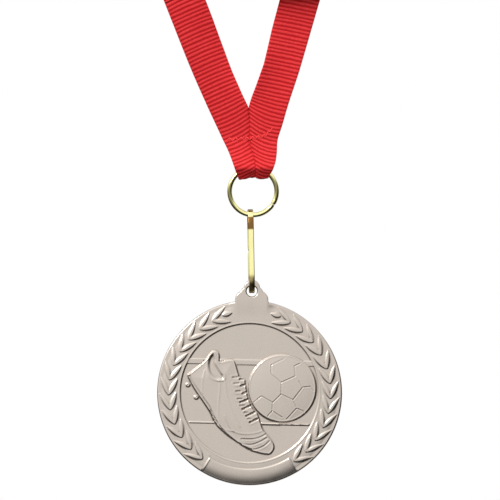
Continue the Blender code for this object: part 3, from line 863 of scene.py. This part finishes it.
def store_ring_painted_reflection(ring):
    """Paints the wire's dark reflection of the ground in a band: outside at the bottom, inside at the
    top.
    """
    x, _, z = (vertex_places(ring) - np.array(RING_CENTRE)).T
    across = (np.hypot(x, z) - RING_RADIUS) / RING_WIRE
    turn = np.arctan2(z, x)
    half_band = BAND_LEAST + BAND_MORE * np.abs(np.cos(turn)) ** 1.5
    from_middle = np.abs(across + BAND_SWAY * np.sin(turn))
    inner, outer = half_band - BAND_SOFTNESS[0], half_band + BAND_SOFTNESS[1]
    store_values(ring, "painted_reflection", BAND_SHARE * (1 - smooth(from_middle, inner, outer)))


def add_ring():
    gap = RING_GAP / RING_RADIUS
    turns = np.linspace(RING_JOINT + gap / 2, RING_JOINT + 2 * pi - gap / 2, RING_STEPS)
    path = np.stack([np.cos(turns), 0 * turns, np.sin(turns)], -1) * RING_RADIUS + np.array(RING_CENTRE)
    section = round_section(RING_WIRE, WIRE_SIDES)
    look = brass_look("ring_brass", RING_REFLECTION_DARK)
    ring = swept("ribbon_ring_wire", path, section, (0.0, 1.0, 0.0), look)
    ring.data.set_sharp_from_angle(angle=HARD_EDGE)
    store_ring_painted_reflection(ring)
    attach(ring, "ring")
    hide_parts("ribbon_ring")


def store_link_painted_reflection(link, top):
    """Paints the strip's dark reflections into its colour: at its tip, below it and round the lower
    bend.
    """
    x, _, z = vertex_places(link).T
    down = top - z
    painted_dark = 1 - smooth(down, *REFLECTION_TIP_END)
    painted_dark += smooth(down, *REFLECTION_START) * (1 - smooth(down, *REFLECTION_END))
    painted_dark += REFLECTION_FOOT_SHARE * smooth(down, *REFLECTION_FOOT)
    edges = smooth(np.abs(x), *REFLECTION_EDGES)
    store_values(link, "painted_reflection", painted_dark * (REFLECTION_SHARE + EDGE_SHARE * edges))


def add_link():
    """A flat strip bent into a long oval, with its ends butted in the middle of the rear leg."""
    width, thickness = LINK_STRIP
    half_depth = LINK_HALF_DEPTH - thickness / 2
    half_length = (LINK_HIGH.z - LINK_LOW.z) / 2 / MM - thickness / 2
    end = LINK_END - thickness / 2
    straight = half_length - end
    leg = np.linspace(LINK_GAP / 2, straight, 20)
    bend = np.linspace(0, pi, 48)[1:]
    upper = [(half_depth, z) for z in leg]
    upper += [(half_depth * cos(a), straight + end * sin(a)) for a in bend]
    front = [(-half_depth, z) for z in np.linspace(straight, -straight, 40)[1:-1]]
    lower = [(y, -z) for y, z in reversed(upper)]
    path = np.array([(0.0, y, z) for y, z in upper + front + lower])
    section = rounded_rectangle(width, thickness, LINK_CORNER)
    look = brass_look("link_brass", LINK_REFLECTION_DARK)
    link = swept("oval_link_strip", path, section, (1.0, 0.0, 0.0), look)
    store_link_painted_reflection(link, half_length + thickness / 2)
    link.data.set_sharp_from_angle(angle=HARD_EDGE)
    link.data.transform(Matrix.Scale(MM, 4))
    link.data.transform(Matrix.Rotation(LINK_YAW, 4, "Z"))
    link.data.transform(Matrix.Rotation(LINK_LEAN, 4, "Y"))
    link.data.transform(Matrix.Translation((LINK_LOW + LINK_HIGH) / 2))
    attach(link, "link")
    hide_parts("oval_link")


# ---------------------------------------------------------------- ribbon

# Grosgrain webbing, worked out in millimetres. "Lay" coordinates (x, f) are the strap drawn flat in
# the XZ plane: f is the height above the cross stitch, and below it the way along the tail loop.
WEB_WIDTH = 10.4
RIB_PITCH = 1.077
RIB_SKEW = radians(2.5)  # how far the ribs lean from square to the selvedges
RIB_CREST, RIB_GROOVE = 0.24, 0.13  # half the webbing's thickness on a rib and between two
SELVEDGE = 0.10
VISIBLE_ROWS, HIDDEN_ROWS = 6, 4  # rows of points for each rib
VISIBLE_COLUMNS, HIDDEN_COLUMNS = 20, 5
EDGE_THINNING = 0.62  # of the ribs, next to a selvedge
# Unevenness along the strip: (size, turn for each millimetre)
RIB_DRIFT = (0.05, 2.1)
SLOPE_DRIFTS = ((0.03, 0.8), (0.02, 1.9))
WARP_PITCH = 0.34
RED, RED_LIGHT, RED_DEEP = (0.74, 0.036, 0.040), (0.82, 0.058, 0.062), (0.64, 0.024, 0.030)
# The colour of the painted shade between the ribs.
RED_GROOVE_SHADE = (0.42, 0.006, 0.009)

STITCH_HEIGHT = -50.3
NOTCH_HEIGHT = -41.7
HANK_JOIN = -12.0  # where the strap's own drawing ends and the folding of the hank begins
CREASE = (
    (-0.48, NOTCH_HEIGHT), (-0.15, -46.4), (-0.05, -50.4), (0.3, -52.7), (0.95, -54.8), (1.4, -57.1),
    (1.5, -60.8), (1.4, -64.0), (1.2, -68.0), (0.9, -73.0),
)

HANK_MIDDLE = (HANK_LOW.z + HANK_HIGH.z) / 2 / MM
HANK_ENDS = (HANK_LOW.x / MM, HANK_HIGH.x / MM)
HANK_RUNS = 11
LAYER_PITCH = 0.5
BEND_RADIUS = LAYER_PITCH / 2
OUTER_LAYER = LAYER_PITCH * (HANK_RUNS + 1) / 2
HANK_SEED = 7
RUN_DROP = 0.4  # from the hank's middle down to the runs' centre line
RUN_SHORTEST, RUN_UNEVEN = 0.3, 0.9  # how far the runs stop short of the hank's ends
PROBE, LAST_PROBE = 8.0, 20.0  # ways past a bend at which the strip runs straight again
HANK_TRIM = 0.6  # between the last row of the hank and the right strap's first one
CORNER_REACH = 1.3  # half widths on each side of a slanting fold that take finer rows

# The loop round the ring, seen from the side: (y, z), down the front, round and up behind.
LOOP = (
    (-0.27, STITCH_HEIGHT), (-0.8, -53.0), (-1.7, -55.6), (-2.4, -57.2), (-2.68, -57.95), (-2.5, -58.5),
    (-1.9, -59.15), (-1.05, -59.95), (-0.45, -60.55), (0.0, -60.74), (0.42, -60.6), (0.8, -59.9),
    (1.2, -58.9), (1.35, -58.0), (1.2, -56.8), (0.8, -54.0), (0.45, -51.6), (0.38, -50.4), (0.38, -49.2),
)
# How much lower or higher the loop's bottom hangs along its width: (x, change of height).
LOOP_BOTTOM = (
    (-4.0, -0.35), (-2.6, -0.32), (-1.0, -0.05), (0.1, 0.28), (0.7, 0.2), (1.6, -0.1), (3.5, -0.12),
    (5.5, 0.1),
)
LOOP_FLOOR, FOLD_LENGTH = -60.7, 2.2
AHEAD = 0.08  # how far to each side the loop's direction is taken
PARTING = (STITCH_HEIGHT + 1.0, HANK_JOIN + 2.0)  # over which the straps move to their planes
LOW_ZONE = (-37.0, -48.0)  # over which the ribs take their slopes near the crease
CURL_MIDDLE, CURL_REACH = -29.0, 16.0
CREASE_GAP = 0.05
TURN_IN, TURN_IN_WIDTH = 0.30, 0.8  # how deep and how wide an edge dips into the crease
REACH_PASSES = 16
TAIL_HIDDEN = 1.6  # of the tail, tucked up behind the cross stitch
FLAP_DEPTH, FLAP_WIDTH, FLAP_COLUMNS = 0.80, 3.6, 6
FLAP_SMALLEST, FLAP_OVERRUN = 0.4, 1.5


class Strap:
    """One side of the V: where its outer edge runs, how its ribs slope and how deep it lies."""

    def __init__(self, side, lean, middle, plane, outer, widths, slopes, low_slopes, curl):
        self.side = side  # -1 for the left strap, 1 for the right one
        self.lean = lean
        self.middle = middle  # a point of its centre line
        self.plane = plane  # its y at the hank
        self.widths = widths  # (height, width as seen from the front)
        self.slopes, self.low_slopes = slopes, low_slopes  # at the outer edge, at the inner edge
        self.curl = curl  # how far the inner edge comes forward half way up
        top = HANK_JOIN - middle[1]
        corner = middle[0] + side * (top * tan(lean) + WEB_WIDTH / 2 / cos(lean))
        self.outer = curve_through(((corner, HANK_JOIN), *outer), steps=12)
        self.outer_way = way_along(self.outer)
        self.crease = curve_through(CREASE, steps=6)
        self.loop = curve_through(LOOP, steps=6)
        self.loop_way = way_along(self.loop)
        self.tail_end = STITCH_HEIGHT - self.loop_way[-1]

    def on_loop(self, f):
        way = STITCH_HEIGHT - f
        return np.stack([np.interp(way, self.loop_way, self.loop[:, k]) for k in (0, 1)])

    def place(self, x, f, w):
        """World points of lay coordinates, w in front of the webbing's middle."""
        front = LOOP[0][0]
        y_above = front + (self.plane - front) * smooth(f, *PARTING) - w
        low = self.on_loop(f)
        ahead = self.on_loop(f - AHEAD) - self.on_loop(f + AHEAD)
        ahead /= np.maximum(np.hypot(*ahead), 1e-9)
        bottom = np.interp(x, *zip(*LOOP_BOTTOM)) * bump(low[1] - LOOP_FLOOR, FOLD_LENGTH)
        above = f >= STITCH_HEIGHT
        y = np.where(above, y_above, low[0] + w * ahead[1])
        z = np.where(above, f, low[1] - w * ahead[0] + bottom)
        return np.stack([x, y, z], -1)

    def crease_x(self, f):
        return np.interp(-f, -self.crease[:, 1], self.crease[:, 0])

    def row(self, way, columns):
        """Points along a rib that starts on the outer edge: x, f, w and the width that is spare."""
        way += RIB_DRIFT[0] * sin(RIB_DRIFT[1] * way)
        start_x, start_f = (np.interp(way, self.outer_way, self.outer[:, k]) for k in (0, 1))
        low = float(smooth(start_f, *LOW_ZONE))
        (slow, slow_turn), (quick, quick_turn) = SLOPE_DRIFTS
        uneven = slow * sin(slow_turn * way + self.side) + quick * sin(quick_turn * way)
        first = self.slopes[0] + (self.low_slopes[0] - self.slopes[0]) * low + uneven
        last = self.slopes[1] + (self.low_slopes[1] - self.slopes[1]) * low - uneven
        width = np.interp(start_f, *zip(*self.widths))
        reach = width
        for _ in range(REACH_PASSES):
            rise = (first + last) / 2 * reach
            full = (width - rise * sin(self.lean)) / cos(self.lean)
            reach = full
            if start_f + rise < NOTCH_HEIGHT:
                reach = min(full, abs(self.crease_x(start_f + rise) - start_x) - CREASE_GAP)
        share = np.linspace(0, 1, columns + 1)
        run = share * reach
        rise = first * run + (last - first) * run**2 / (2 * reach)
        spare = max(0.0, full - reach)
        curl = self.curl * bump(start_f - CURL_MIDDLE, CURL_REACH) * share**2
        dip = TURN_IN * min(1.0, spare / TURN_IN_WIDTH)
        turned_in = dip * smooth(run, reach - TURN_IN_WIDTH, reach)
        return start_x - self.side * run, start_f + rise, curl - turned_in, spare


LEFT_STRAP = Strap(
    side=-1,
    lean=radians(22.0),
    middle=(-10.65, -30.0),
    plane=-OUTER_LAYER,
    outer=(
        (-16.4, -30.0), (-11.65, -40.9), (-9.6, -45.3), (-7.55, -49.7), (-5.55, -54.1), (-3.95, -58.9),
        (-3.35, -60.9), (-2.95, -62.0), (-3.2, -63.4), (-3.9, -66.0), (-5.4, -70.0), (-6.3, -74.0),
    ),
    widths=((-42.0, 9.75), (-36.0, 9.8), (-30.0, 10.1), (-22.0, 10.35), (-12.0, WEB_WIDTH)),
    slopes=(tan(radians(27.0)), tan(radians(20.0))),
    low_slopes=(0.30, 0.72),
    curl=-1.6,
)
RIGHT_STRAP = Strap(
    side=1,
    lean=radians(15.4),
    middle=(8.65, -30.0),
    plane=OUTER_LAYER,
    outer=(
        (13.78, -30.0), (12.4, -34.4), (10.25, -40.9), (8.65, -46.4), (7.4, -50.4), (7.15, -54.1),
        (6.75, -56.9), (5.9, -59.5), (5.2, -61.2), (4.9, -62.2), (5.1, -63.4), (5.6, -66.0),
        (6.5, -70.0), (6.9, -74.0),
    ),
    widths=((-42.0, 9.9), (-38.0, 9.75), (-31.5, 9.6), (-22.0, 10.15), (-12.0, WEB_WIDTH)),
    slopes=(tan(radians(13.0)), tan(radians(9.0))),
    low_slopes=(0.04, 0.80),
    curl=2.4,
)


class Fold:
    """A fold of the flat strip about a line through (way, 0), towards +w or -w."""

    def __init__(self, way, along, towards):
        self.way = way
        self.along = np.array(along) / hypot(*along)
        self.ahead = np.array([abs(self.along[1]), -self.along[0] * np.sign(self.along[1])])
        self.towards = towards

    def beyond(self, flat):
        return (flat[:, 0] - self.way) * self.ahead[0] + flat[:, 1] * self.ahead[1]

    def turn_over(self, points):
        """Carries points that lie past the bend back over the strip."""
        past = self.beyond(points)
        points = points.copy()
        points[:, :2] -= (2 * past - pi * BEND_RADIUS)[:, None] * self.ahead
        points[:, 2] = 2 * self.towards * BEND_RADIUS - points[:, 2]
        return points

    def bend(self, points):
        """Wraps points that lie within the bend round its axis."""
        past = self.beyond(points)
        turn = past / BEND_RADIUS
        reach = BEND_RADIUS - self.towards * points[:, 2]
        points = points.copy()
        points[:, :2] += (reach * np.sin(turn) - past)[:, None] * self.ahead
        points[:, 2] = self.towards * (BEND_RADIUS - reach * np.cos(turn))
        return points


class Hank:
    """The strip between the straps: folded to and fro behind the left strap."""

    def __init__(self):
        lean = LEFT_STRAP.lean
        start_x = LEFT_STRAP.middle[0] - (HANK_JOIN - LEFT_STRAP.middle[1]) * tan(lean)
        self.start = np.array([start_x, LEFT_STRAP.plane, HANK_JOIN])
        self.axes = np.array([[-sin(lean), 0, cos(lean)], [cos(lean), 0, sin(lean)], [0, -1, 0]])
        half_turn = (pi / 2 + lean) / 2
        way = (HANK_MIDDLE - RUN_DROP - HANK_JOIN) / cos(lean)
        self.folds = [Fold(way, (cos(half_turn), sin(half_turn)), -1)]
        uneven = np.random.default_rng(HANK_SEED)
        for run in range(HANK_RUNS - 1):
            probe = way + pi * BEND_RADIUS + PROBE
            here = self.middle_at(probe)[0]
            heading = 1 if run % 2 == 0 else -1
            end = HANK_ENDS[heading > 0] - heading * (RUN_SHORTEST + RUN_UNEVEN * uneven.random())
            way = probe + abs(end - here)
            self.folds.append(Fold(way, (0.0, 1.0), heading))
        self.close_last_run(way)

    def close_last_run(self, way):
        """Folds the last run down into the right strap, on that strap's centre line."""
        lean, middle = RIGHT_STRAP.lean, RIGHT_STRAP.middle
        half_turn = (pi / 2 + lean) / 2
        probe = way + pi * BEND_RADIUS + PROBE
        target = middle[0] + (HANK_MIDDLE - middle[1]) * tan(lean)
        fold = Fold(probe + target - self.middle_at(probe)[0], (cos(half_turn), -sin(half_turn)), 1)
        self.folds.append(fold)
        for _ in range(3):
            x, _, z = self.middle_at(fold.way + LAST_PROBE)
            fold.way += middle[0] + (z - middle[1]) * tan(lean) - x
        z = self.middle_at(fold.way + LAST_PROBE)[2]
        self.length = fold.way + LAST_PROBE + (z - HANK_JOIN) / cos(lean)

    def middle_at(self, way):
        """The world point of the strip's centre line at a way along it."""
        return self.place(np.array([[way, 0.0, 0.0]]))[0]

    def place(self, flat):
        """World points of strip points (way, across, w)."""
        points = flat.copy()
        for fold in reversed(self.folds):
            past = fold.beyond(flat)
            over = past >= pi * BEND_RADIUS
            bending = (past > 0) & ~over
            points[over] = fold.turn_over(points[over])
            points[bending] = fold.bend(points[bending])
        return self.start + points @ self.axes


def rib_profile(phase):
    """Half the webbing's thickness for a rib phase: whole numbers are grooves."""
    return RIB_GROOVE + (RIB_CREST - RIB_GROOVE) * abs(sin(pi * phase)) ** 1.2


class Webbing:
    """Collects rings of points round the webbing and joins them into closed shells."""

    def __init__(self):
        self.points, self.faces, self.ways, self.across = [], [], [], []
        self.count = 0
        self.last = None

    def ring(self, place, flat_x, flat_y, phase, lift=0.0):
        """Adds one row: its front points, far edge, back points and near edge."""
        columns = len(flat_x) - 1
        half = np.full(columns + 1, rib_profile(phase))
        half[[0, -1]] *= EDGE_THINNING
        run = np.array([flat_x[-1] - flat_x[0], flat_y[-1] - flat_y[0]])
        run *= SELVEDGE / max(hypot(*run), 1e-6)
        x = np.concatenate([flat_x, [flat_x[-1] + run[0]], flat_x[::-1], [flat_x[0] - run[0]]])
        y = np.concatenate([flat_y, [flat_y[-1] + run[1]], flat_y[::-1], [flat_y[0] - run[1]]])
        w = np.concatenate([half, [0.0], -half[::-1], [0.0]])
        lift = np.broadcast_to(lift, columns + 1)
        w += np.concatenate([lift, lift[-1:], lift[::-1], lift[:1]])
        self.points.append(place(x, y, w))
        size = 2 * columns + 4
        across = np.linspace(0, WEB_WIDTH, columns + 1)
        self.across.append(np.concatenate([across, [WEB_WIDTH], across[::-1], [0.0]]))
        self.ways.append(np.full(size, phase * RIB_PITCH))
        first = self.count
        self.count += size
        if self.last is None:
            self.faces.append([first + i for i in range(size)])
        else:
            self.join(self.last, (first, columns))
        self.last = (first, columns)

    def join(self, before, after):
        """Faces between two rows, each (first point, columns), of which one may be finer."""
        (a, few), (b, many) = sorted((before, after), key=lambda row: row[1])
        ratio = many // few
        for side_a, side_b in ((a, b), (a + few + 2, b + many + 2)):
            for i in range(few):
                fan = [side_b + ratio * (i + 1) - k for k in range(ratio + 1)]
                self.faces.append([side_a + i, side_a + i + 1, *fan])
        ends = (few, many), (few + 1, many + 1), (2 * few + 2, 2 * many + 2), (2 * few + 3, 2 * many + 3)
        for i, k in ends:
            next_a, next_b = (i + 1) % (2 * few + 4), (k + 1) % (2 * many + 4)
            self.faces.append([a + i, a + next_a, b + next_b, b + k])

    def close(self):
        first, columns = self.last
        self.faces.append([first + i for i in range(2 * columns + 4)][::-1])
        self.last = None

    def object(self, name, look):
        made = mesh_object(name, np.concatenate(self.points), self.faces, look)
        store_values(made, "way", np.concatenate(self.ways))
        store_values(made, "across", np.concatenate(self.across))
        face_outwards(made)
        made.data.transform(Matrix.Scale(MM, 4))
        return made


def strap_rows(webbing, strap, ways, phase):
    """Rows at ways along a strap's outer edge. Returns the phase after the last row."""
    for way in ways:
        x, f, lift, _ = strap.row(way, VISIBLE_COLUMNS)
        webbing.ring(strap.place, x, f, phase, lift)
        phase += 1 / VISIBLE_ROWS
    return phase


def tail_limit(strap):
    """The way along the outer edge at which the tail ends behind the cross stitch."""
    return float(np.interp(-strap.tail_end + TAIL_HIDDEN, -strap.outer[:, 1], strap.outer_way))


def seam_flap(webbing, strap, ways, phase):
    """The turned-in edge behind the crease, down to the cross stitch."""

    def behind(x, f, w):
        return strap.place(x, f, w - FLAP_DEPTH)

    for way in ways:
        x, f, _, spare = strap.row(way, VISIBLE_COLUMNS)
        if spare > FLAP_SMALLEST and f[-1] > STITCH_HEIGHT - FLAP_OVERRUN:
            run = np.linspace(0.0, min(spare, FLAP_WIDTH), FLAP_COLUMNS + 1)
            webbing.ring(behind, x[-1] + strap.side * run, f[-1] + strap.slopes[1] * run, phase)
        phase += 1 / VISIBLE_ROWS
    webbing.close()


def add_ribbon():
    """The whole ribbon as one strip: up the left strap, to and fro in the hank, down the right one."""
    webbing = Webbing()
    hank = Hank()
    step = RIB_PITCH / VISIBLE_ROWS
    left_ways = np.arange(tail_limit(LEFT_STRAP), 0.0, -step)
    phase = strap_rows(webbing, LEFT_STRAP, left_ways, 0.0)
    start_phase = phase
    half = WEB_WIDTH / 2
    corners = [hank.folds[0].way, hank.folds[-1].way]
    hidden_step = RIB_PITCH / HIDDEN_ROWS
    skew = tan(RIB_SKEW)

    def in_hank(way, t, w):
        return hank.place(np.stack([way, t, w], -1))

    rows = int((hank.length + 2 * half * skew - HANK_TRIM) / hidden_step)
    for i in range(1, rows):
        way = i * hidden_step + half * skew
        turning = min(abs(way - corner) for corner in corners) < CORNER_REACH * half
        across = np.linspace(-half, half, (VISIBLE_COLUMNS if turning else HIDDEN_COLUMNS) + 1)
        webbing.ring(in_hank, way + across * skew, across, start_phase + i / HIDDEN_ROWS)
    phase = start_phase + rows / HIDDEN_ROWS
    right_ways = np.arange(0.0, tail_limit(RIGHT_STRAP), step)
    strap_rows(webbing, RIGHT_STRAP, right_ways, phase)
    webbing.close()
    seam_flap(webbing, LEFT_STRAP, left_ways, 0.0)
    seam_flap(webbing, RIGHT_STRAP, right_ways, phase)
    ribbon = webbing.object("ribbon_webbing", ribbon_look())
    length = left_ways[0] + hank.length + right_ways[-1]
    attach(ribbon, "ribbon")
    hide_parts("ribbon_left_strap", "ribbon_right_strap", "ribbon_tail_loop", "ribbon_hank")
    return ribbon, length


def ribbon_look():
    """Red grosgrain: light along the ribs, painted deep red shade between them, with fine warp threads.
    """
    look = Look("red_grosgrain")
    cloth = look.cloth_place()
    wander = look.ranged(look.noise(look.scaled(cloth, (0.9, 0.5, 1.0)), 1.0), 0.0, 1.0, -0.9, 0.9)
    turn = look.math("MULTIPLY", look.attribute("way"), 2 * pi / RIB_PITCH)
    groove = look.ranged(look.math("COSINE", look.math("ADD", turn, wander)), -0.45, 0.55, 0.0, 1.0)
    warp = look.waves(look.attribute("across"), WARP_PITCH)
    streak = look.noise(look.scaled(cloth, (0.35, 2.6, 1.0)), 1.0, 3.0, 0.6)
    patch = look.noise(look.scaled(cloth, (0.12, 0.12, 1.0)), 1.0)
    bright = look.mix(look.ranged(streak, 0.3, 0.7, 0.0, 1.0), RED, RED_LIGHT)
    bright = look.mix(look.ranged(patch, 0.35, 0.65, 0.0, 0.3), bright, RED_DEEP)
    colour = look.mix(look.math("MULTIPLY", groove, 0.9), bright, RED_GROOVE_SHADE)
    look.set(base_color=colour, roughness=0.7, specular_ior_level=0.08)
    weave = look.math("ADD", look.math("MULTIPLY", warp, 0.5), look.math("MULTIPLY", streak, 0.8))
    look.bumped(weave, 0.03 * MM, 0.5)
    return look.material


# ---------------------------------------------------------------- threads

THREAD_RADIUS, THREAD_SIDES = 0.16, 8
THREAD_BULGE, THREAD_DIP = 0.12, 0.02  # how far a stitch stands up, and how far its ends sink in
THREAD_COLOUR = (0.86, 0.055, 0.060)
STITCH_ROUTE = (
    (-6.25, -50.35), (-3.2, -50.2), (0.0, -50.0), (2.4, -49.7), (4.0, -49.3), (5.3, -48.2), (6.6, -46.9),
)
STITCH_PITCH, STITCH_SPREAD = 1.55, 0.42
STITCH_LOWEST = STITCH_HEIGHT - 1.2
SEAM_PITCH, SEAM_REACH = 1.3, 0.7
SEAM_MARGIN = 0.6
UNEVEN_LEAST, UNEVEN_MORE = 0.8, 0.4  # a stitch's size varies from the first by up to the second
THREAD_SEED = 3


def zigzag(route, pitch, spread, uneven):
    """Corner points of a zigzag stitch along a route, with small unevenness."""
    path = curve_through(route, steps=12)
    way = way_along(path)
    stops = np.arange(0.0, way[-1], pitch / 2)
    points = []
    for i, stop in enumerate(stops):
        x, z = (np.interp(stop, way, path[:, k]) for k in (0, 1))
        size = spread * (UNEVEN_LEAST + UNEVEN_MORE * uneven.random())
        points.append((x, z + (size if i % 2 else -size)))
    return points


def stitches(corners, steps=7):
    """The thread of a stitch: between its corners it lies on the cloth, and at each it dips in."""
    path = []
    for start, end in zip(corners, corners[1:]):
        for k in range(steps):
            share = k / steps
            point = np.array(start) * (1 - share) + np.array(end) * share
            path.append((*point, abs(sin(pi * share)) ** 0.5))
    return np.array(path)


def thread(name, path, node_name, look):
    made = swept(name, path, round_section(THREAD_RADIUS, THREAD_SIDES), (0.1, 1.0, 0.05), look)
    made.data.transform(Matrix.Scale(MM, 4))
    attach(made, "ribbon")
    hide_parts(node_name)
    return made


def add_threads():
    """The zigzag row across the V, and the seam behind the crease."""
    look = thread_look()
    uneven = np.random.default_rng(THREAD_SEED)
    x, height, bulge = stitches(zigzag(STITCH_ROUTE, STITCH_PITCH, STITCH_SPREAD, uneven)).T
    out = RIB_GROOVE + THREAD_BULGE * bulge - THREAD_DIP
    front = LEFT_STRAP.place(x, np.maximum(height, STITCH_LOWEST), out)
    cross = thread("cross_stitch", front, "cross_stitch_thread", look)
    top, low = NOTCH_HEIGHT - SEAM_MARGIN, STITCH_HEIGHT + SEAM_MARGIN
    corners = []
    for i, height in enumerate(np.arange(top, low, -SEAM_PITCH / 2)):
        reach = SEAM_REACH * (UNEVEN_LEAST + UNEVEN_MORE * uneven.random())
        corners.append((LEFT_STRAP.crease_x(height) + (reach if i % 2 else -reach), height))
    x, height, bulge = stitches(corners).T
    back = LEFT_STRAP.place(x, height, -FLAP_DEPTH - RIB_GROOVE - THREAD_BULGE * bulge)
    seam = thread("mitre_seam", back, "mitre_seam_thread", look)
    return cross, seam


def thread_look():
    """Twisted sewing thread."""
    look = Look("red_sewing_thread")
    inputs = {"Vector": look.place(), "Scale": 900.0}
    twist = look.add("ShaderNodeTexWave", inputs, "Fac", bands_direction="DIAGONAL")
    look.set(base_color=THREAD_COLOUR, roughness=0.5, specular_ior_level=0.2)
    look.bumped(twist, 0.03 * MM, 0.6)
    return look.material


# ---------------------------------------------------------------- tape tie

TAPE_WIDTH = (TIE_HIGH.x - TIE_LOW.x) / MM
TAPE_THICKNESS = 0.36
TAPE_CLEARANCE = 0.02
TAPE_CORNER = 0.55
TAPE_STEP = 0.22
TAPE_COLUMNS = 20
TAPE_SELVEDGE = 0.12
HERRINGBONE, HERRINGBONE_DEPTH = 1.6, 0.14  # its width, and its depth as a share
TAPE_OVERLAP = 7.0
TAPE_LAP = 0.42  # how far the overlapping end lies outside the first turn
LAP_RISE = (1.5, 0.6)  # it rises from this far before the overlap to this far into it
TAPE_CROWN, TAPE_HOLLOW = 0.22, 0.12
TWILL_PITCH, TAPE_WARP_PITCH = 0.55, 0.3
TAPE_SHADE, TAPE_WHITE, TAPE_FIBRE = (0.62, 0.60, 0.55), (0.84, 0.83, 0.79), (0.70, 0.68, 0.62)


def tape_section():
    """Across the tape: a low herringbone and rounded selvedges."""
    half = TAPE_WIDTH / 2
    x = np.linspace(TAPE_SELVEDGE - half, half - TAPE_SELVEDGE, TAPE_COLUMNS + 1)
    weave = HERRINGBONE_DEPTH * np.abs(np.cos(x * pi / HERRINGBONE))
    top = TAPE_THICKNESS / 2 * (1 - HERRINGBONE_DEPTH + weave)
    return [*zip(x, top), (half, 0.0), *zip(x[::-1], -top[::-1]), (-half, 0.0)]


def add_tie():
    """The tape, once round the hank and over its own start behind it."""
    margin = TAPE_THICKNESS / 2 + TAPE_CLEARANCE
    half_depth = TIE_HIGH.y / MM - margin - TAPE_LAP
    half_height = (TIE_HIGH.z - TIE_LOW.z) / 2 / MM - margin
    outline = rounded_rectangle(2 * half_depth, 2 * half_height, TAPE_CORNER, steps=6)
    outline = np.array(outline + outline[:1])
    way = way_along(outline)
    total = way[-1]
    stops = np.arange(0.0, total + TAPE_OVERLAP, TAPE_STEP)
    y, z = (np.interp(stops % total, way, outline[:, k]) for k in (0, 1))
    lap = TAPE_LAP * smooth(stops, total - LAP_RISE[0], total + LAP_RISE[1])
    crown = TAPE_CROWN * np.cos(pi / 2 * np.clip(z / half_height, -1, 1)) - TAPE_HOLLOW
    bulge = np.where(np.abs(y) > half_depth - 0.1, np.sign(y) * crown, 0.0)
    middle = (TIE_LOW.z + TIE_HIGH.z) / 2 / MM
    path = np.stack([np.zeros_like(y), y + bulge + lap, z + middle], -1)
    made = swept("tape_tie", path, tape_section(), (1.0, 0.0, 0.0), tape_look())
    places = vertex_places(made)
    store_values(made, "way", np.repeat(stops, len(places) // len(stops)))
    store_values(made, "across", places[:, 0])
    made.data.transform(Matrix.Scale(MM, 4))
    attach(made, "ribbon")
    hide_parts("hank_tie")
    return made


def tape_look():
    """White cotton tape with a slanting weave."""
    look = Look("white_cotton_tape")
    across = look.attribute("across")
    slant = look.math("ADD", look.attribute("way"), look.math("PINGPONG", across, 1.0))
    twill = look.waves(slant, TWILL_PITCH)
    warp = look.waves(across, TAPE_WARP_PITCH)
    fibre = look.noise(look.scaled(look.cloth_place(), (1.2, 6.0, 1.0)), 1.0, 3.0)
    shade = look.ranged(look.math("ADD", twill, warp), -2.0, 2.0, 0.0, 1.0)
    colour = look.mix(shade, TAPE_SHADE, TAPE_WHITE)
    colour = look.mix(look.ranged(fibre, 0.4, 0.7, 0.0, 0.3), colour, TAPE_FIBRE)
    look.set(base_color=colour, roughness=0.8, specular_ior_level=0.2)
    look.bumped(look.math("ADD", shade, fibre), 0.06 * MM, 0.7)
    return look.material


add_camera()
add_world()
add_key_light()
add_floor()
add_medal()
add_ring()
add_link()
RIBBON, RIBBON_LENGTH = add_ribbon()
THREADS = add_threads()
TIE = add_tie()

bpy.context.scene.view_settings.view_transform = "Standard"
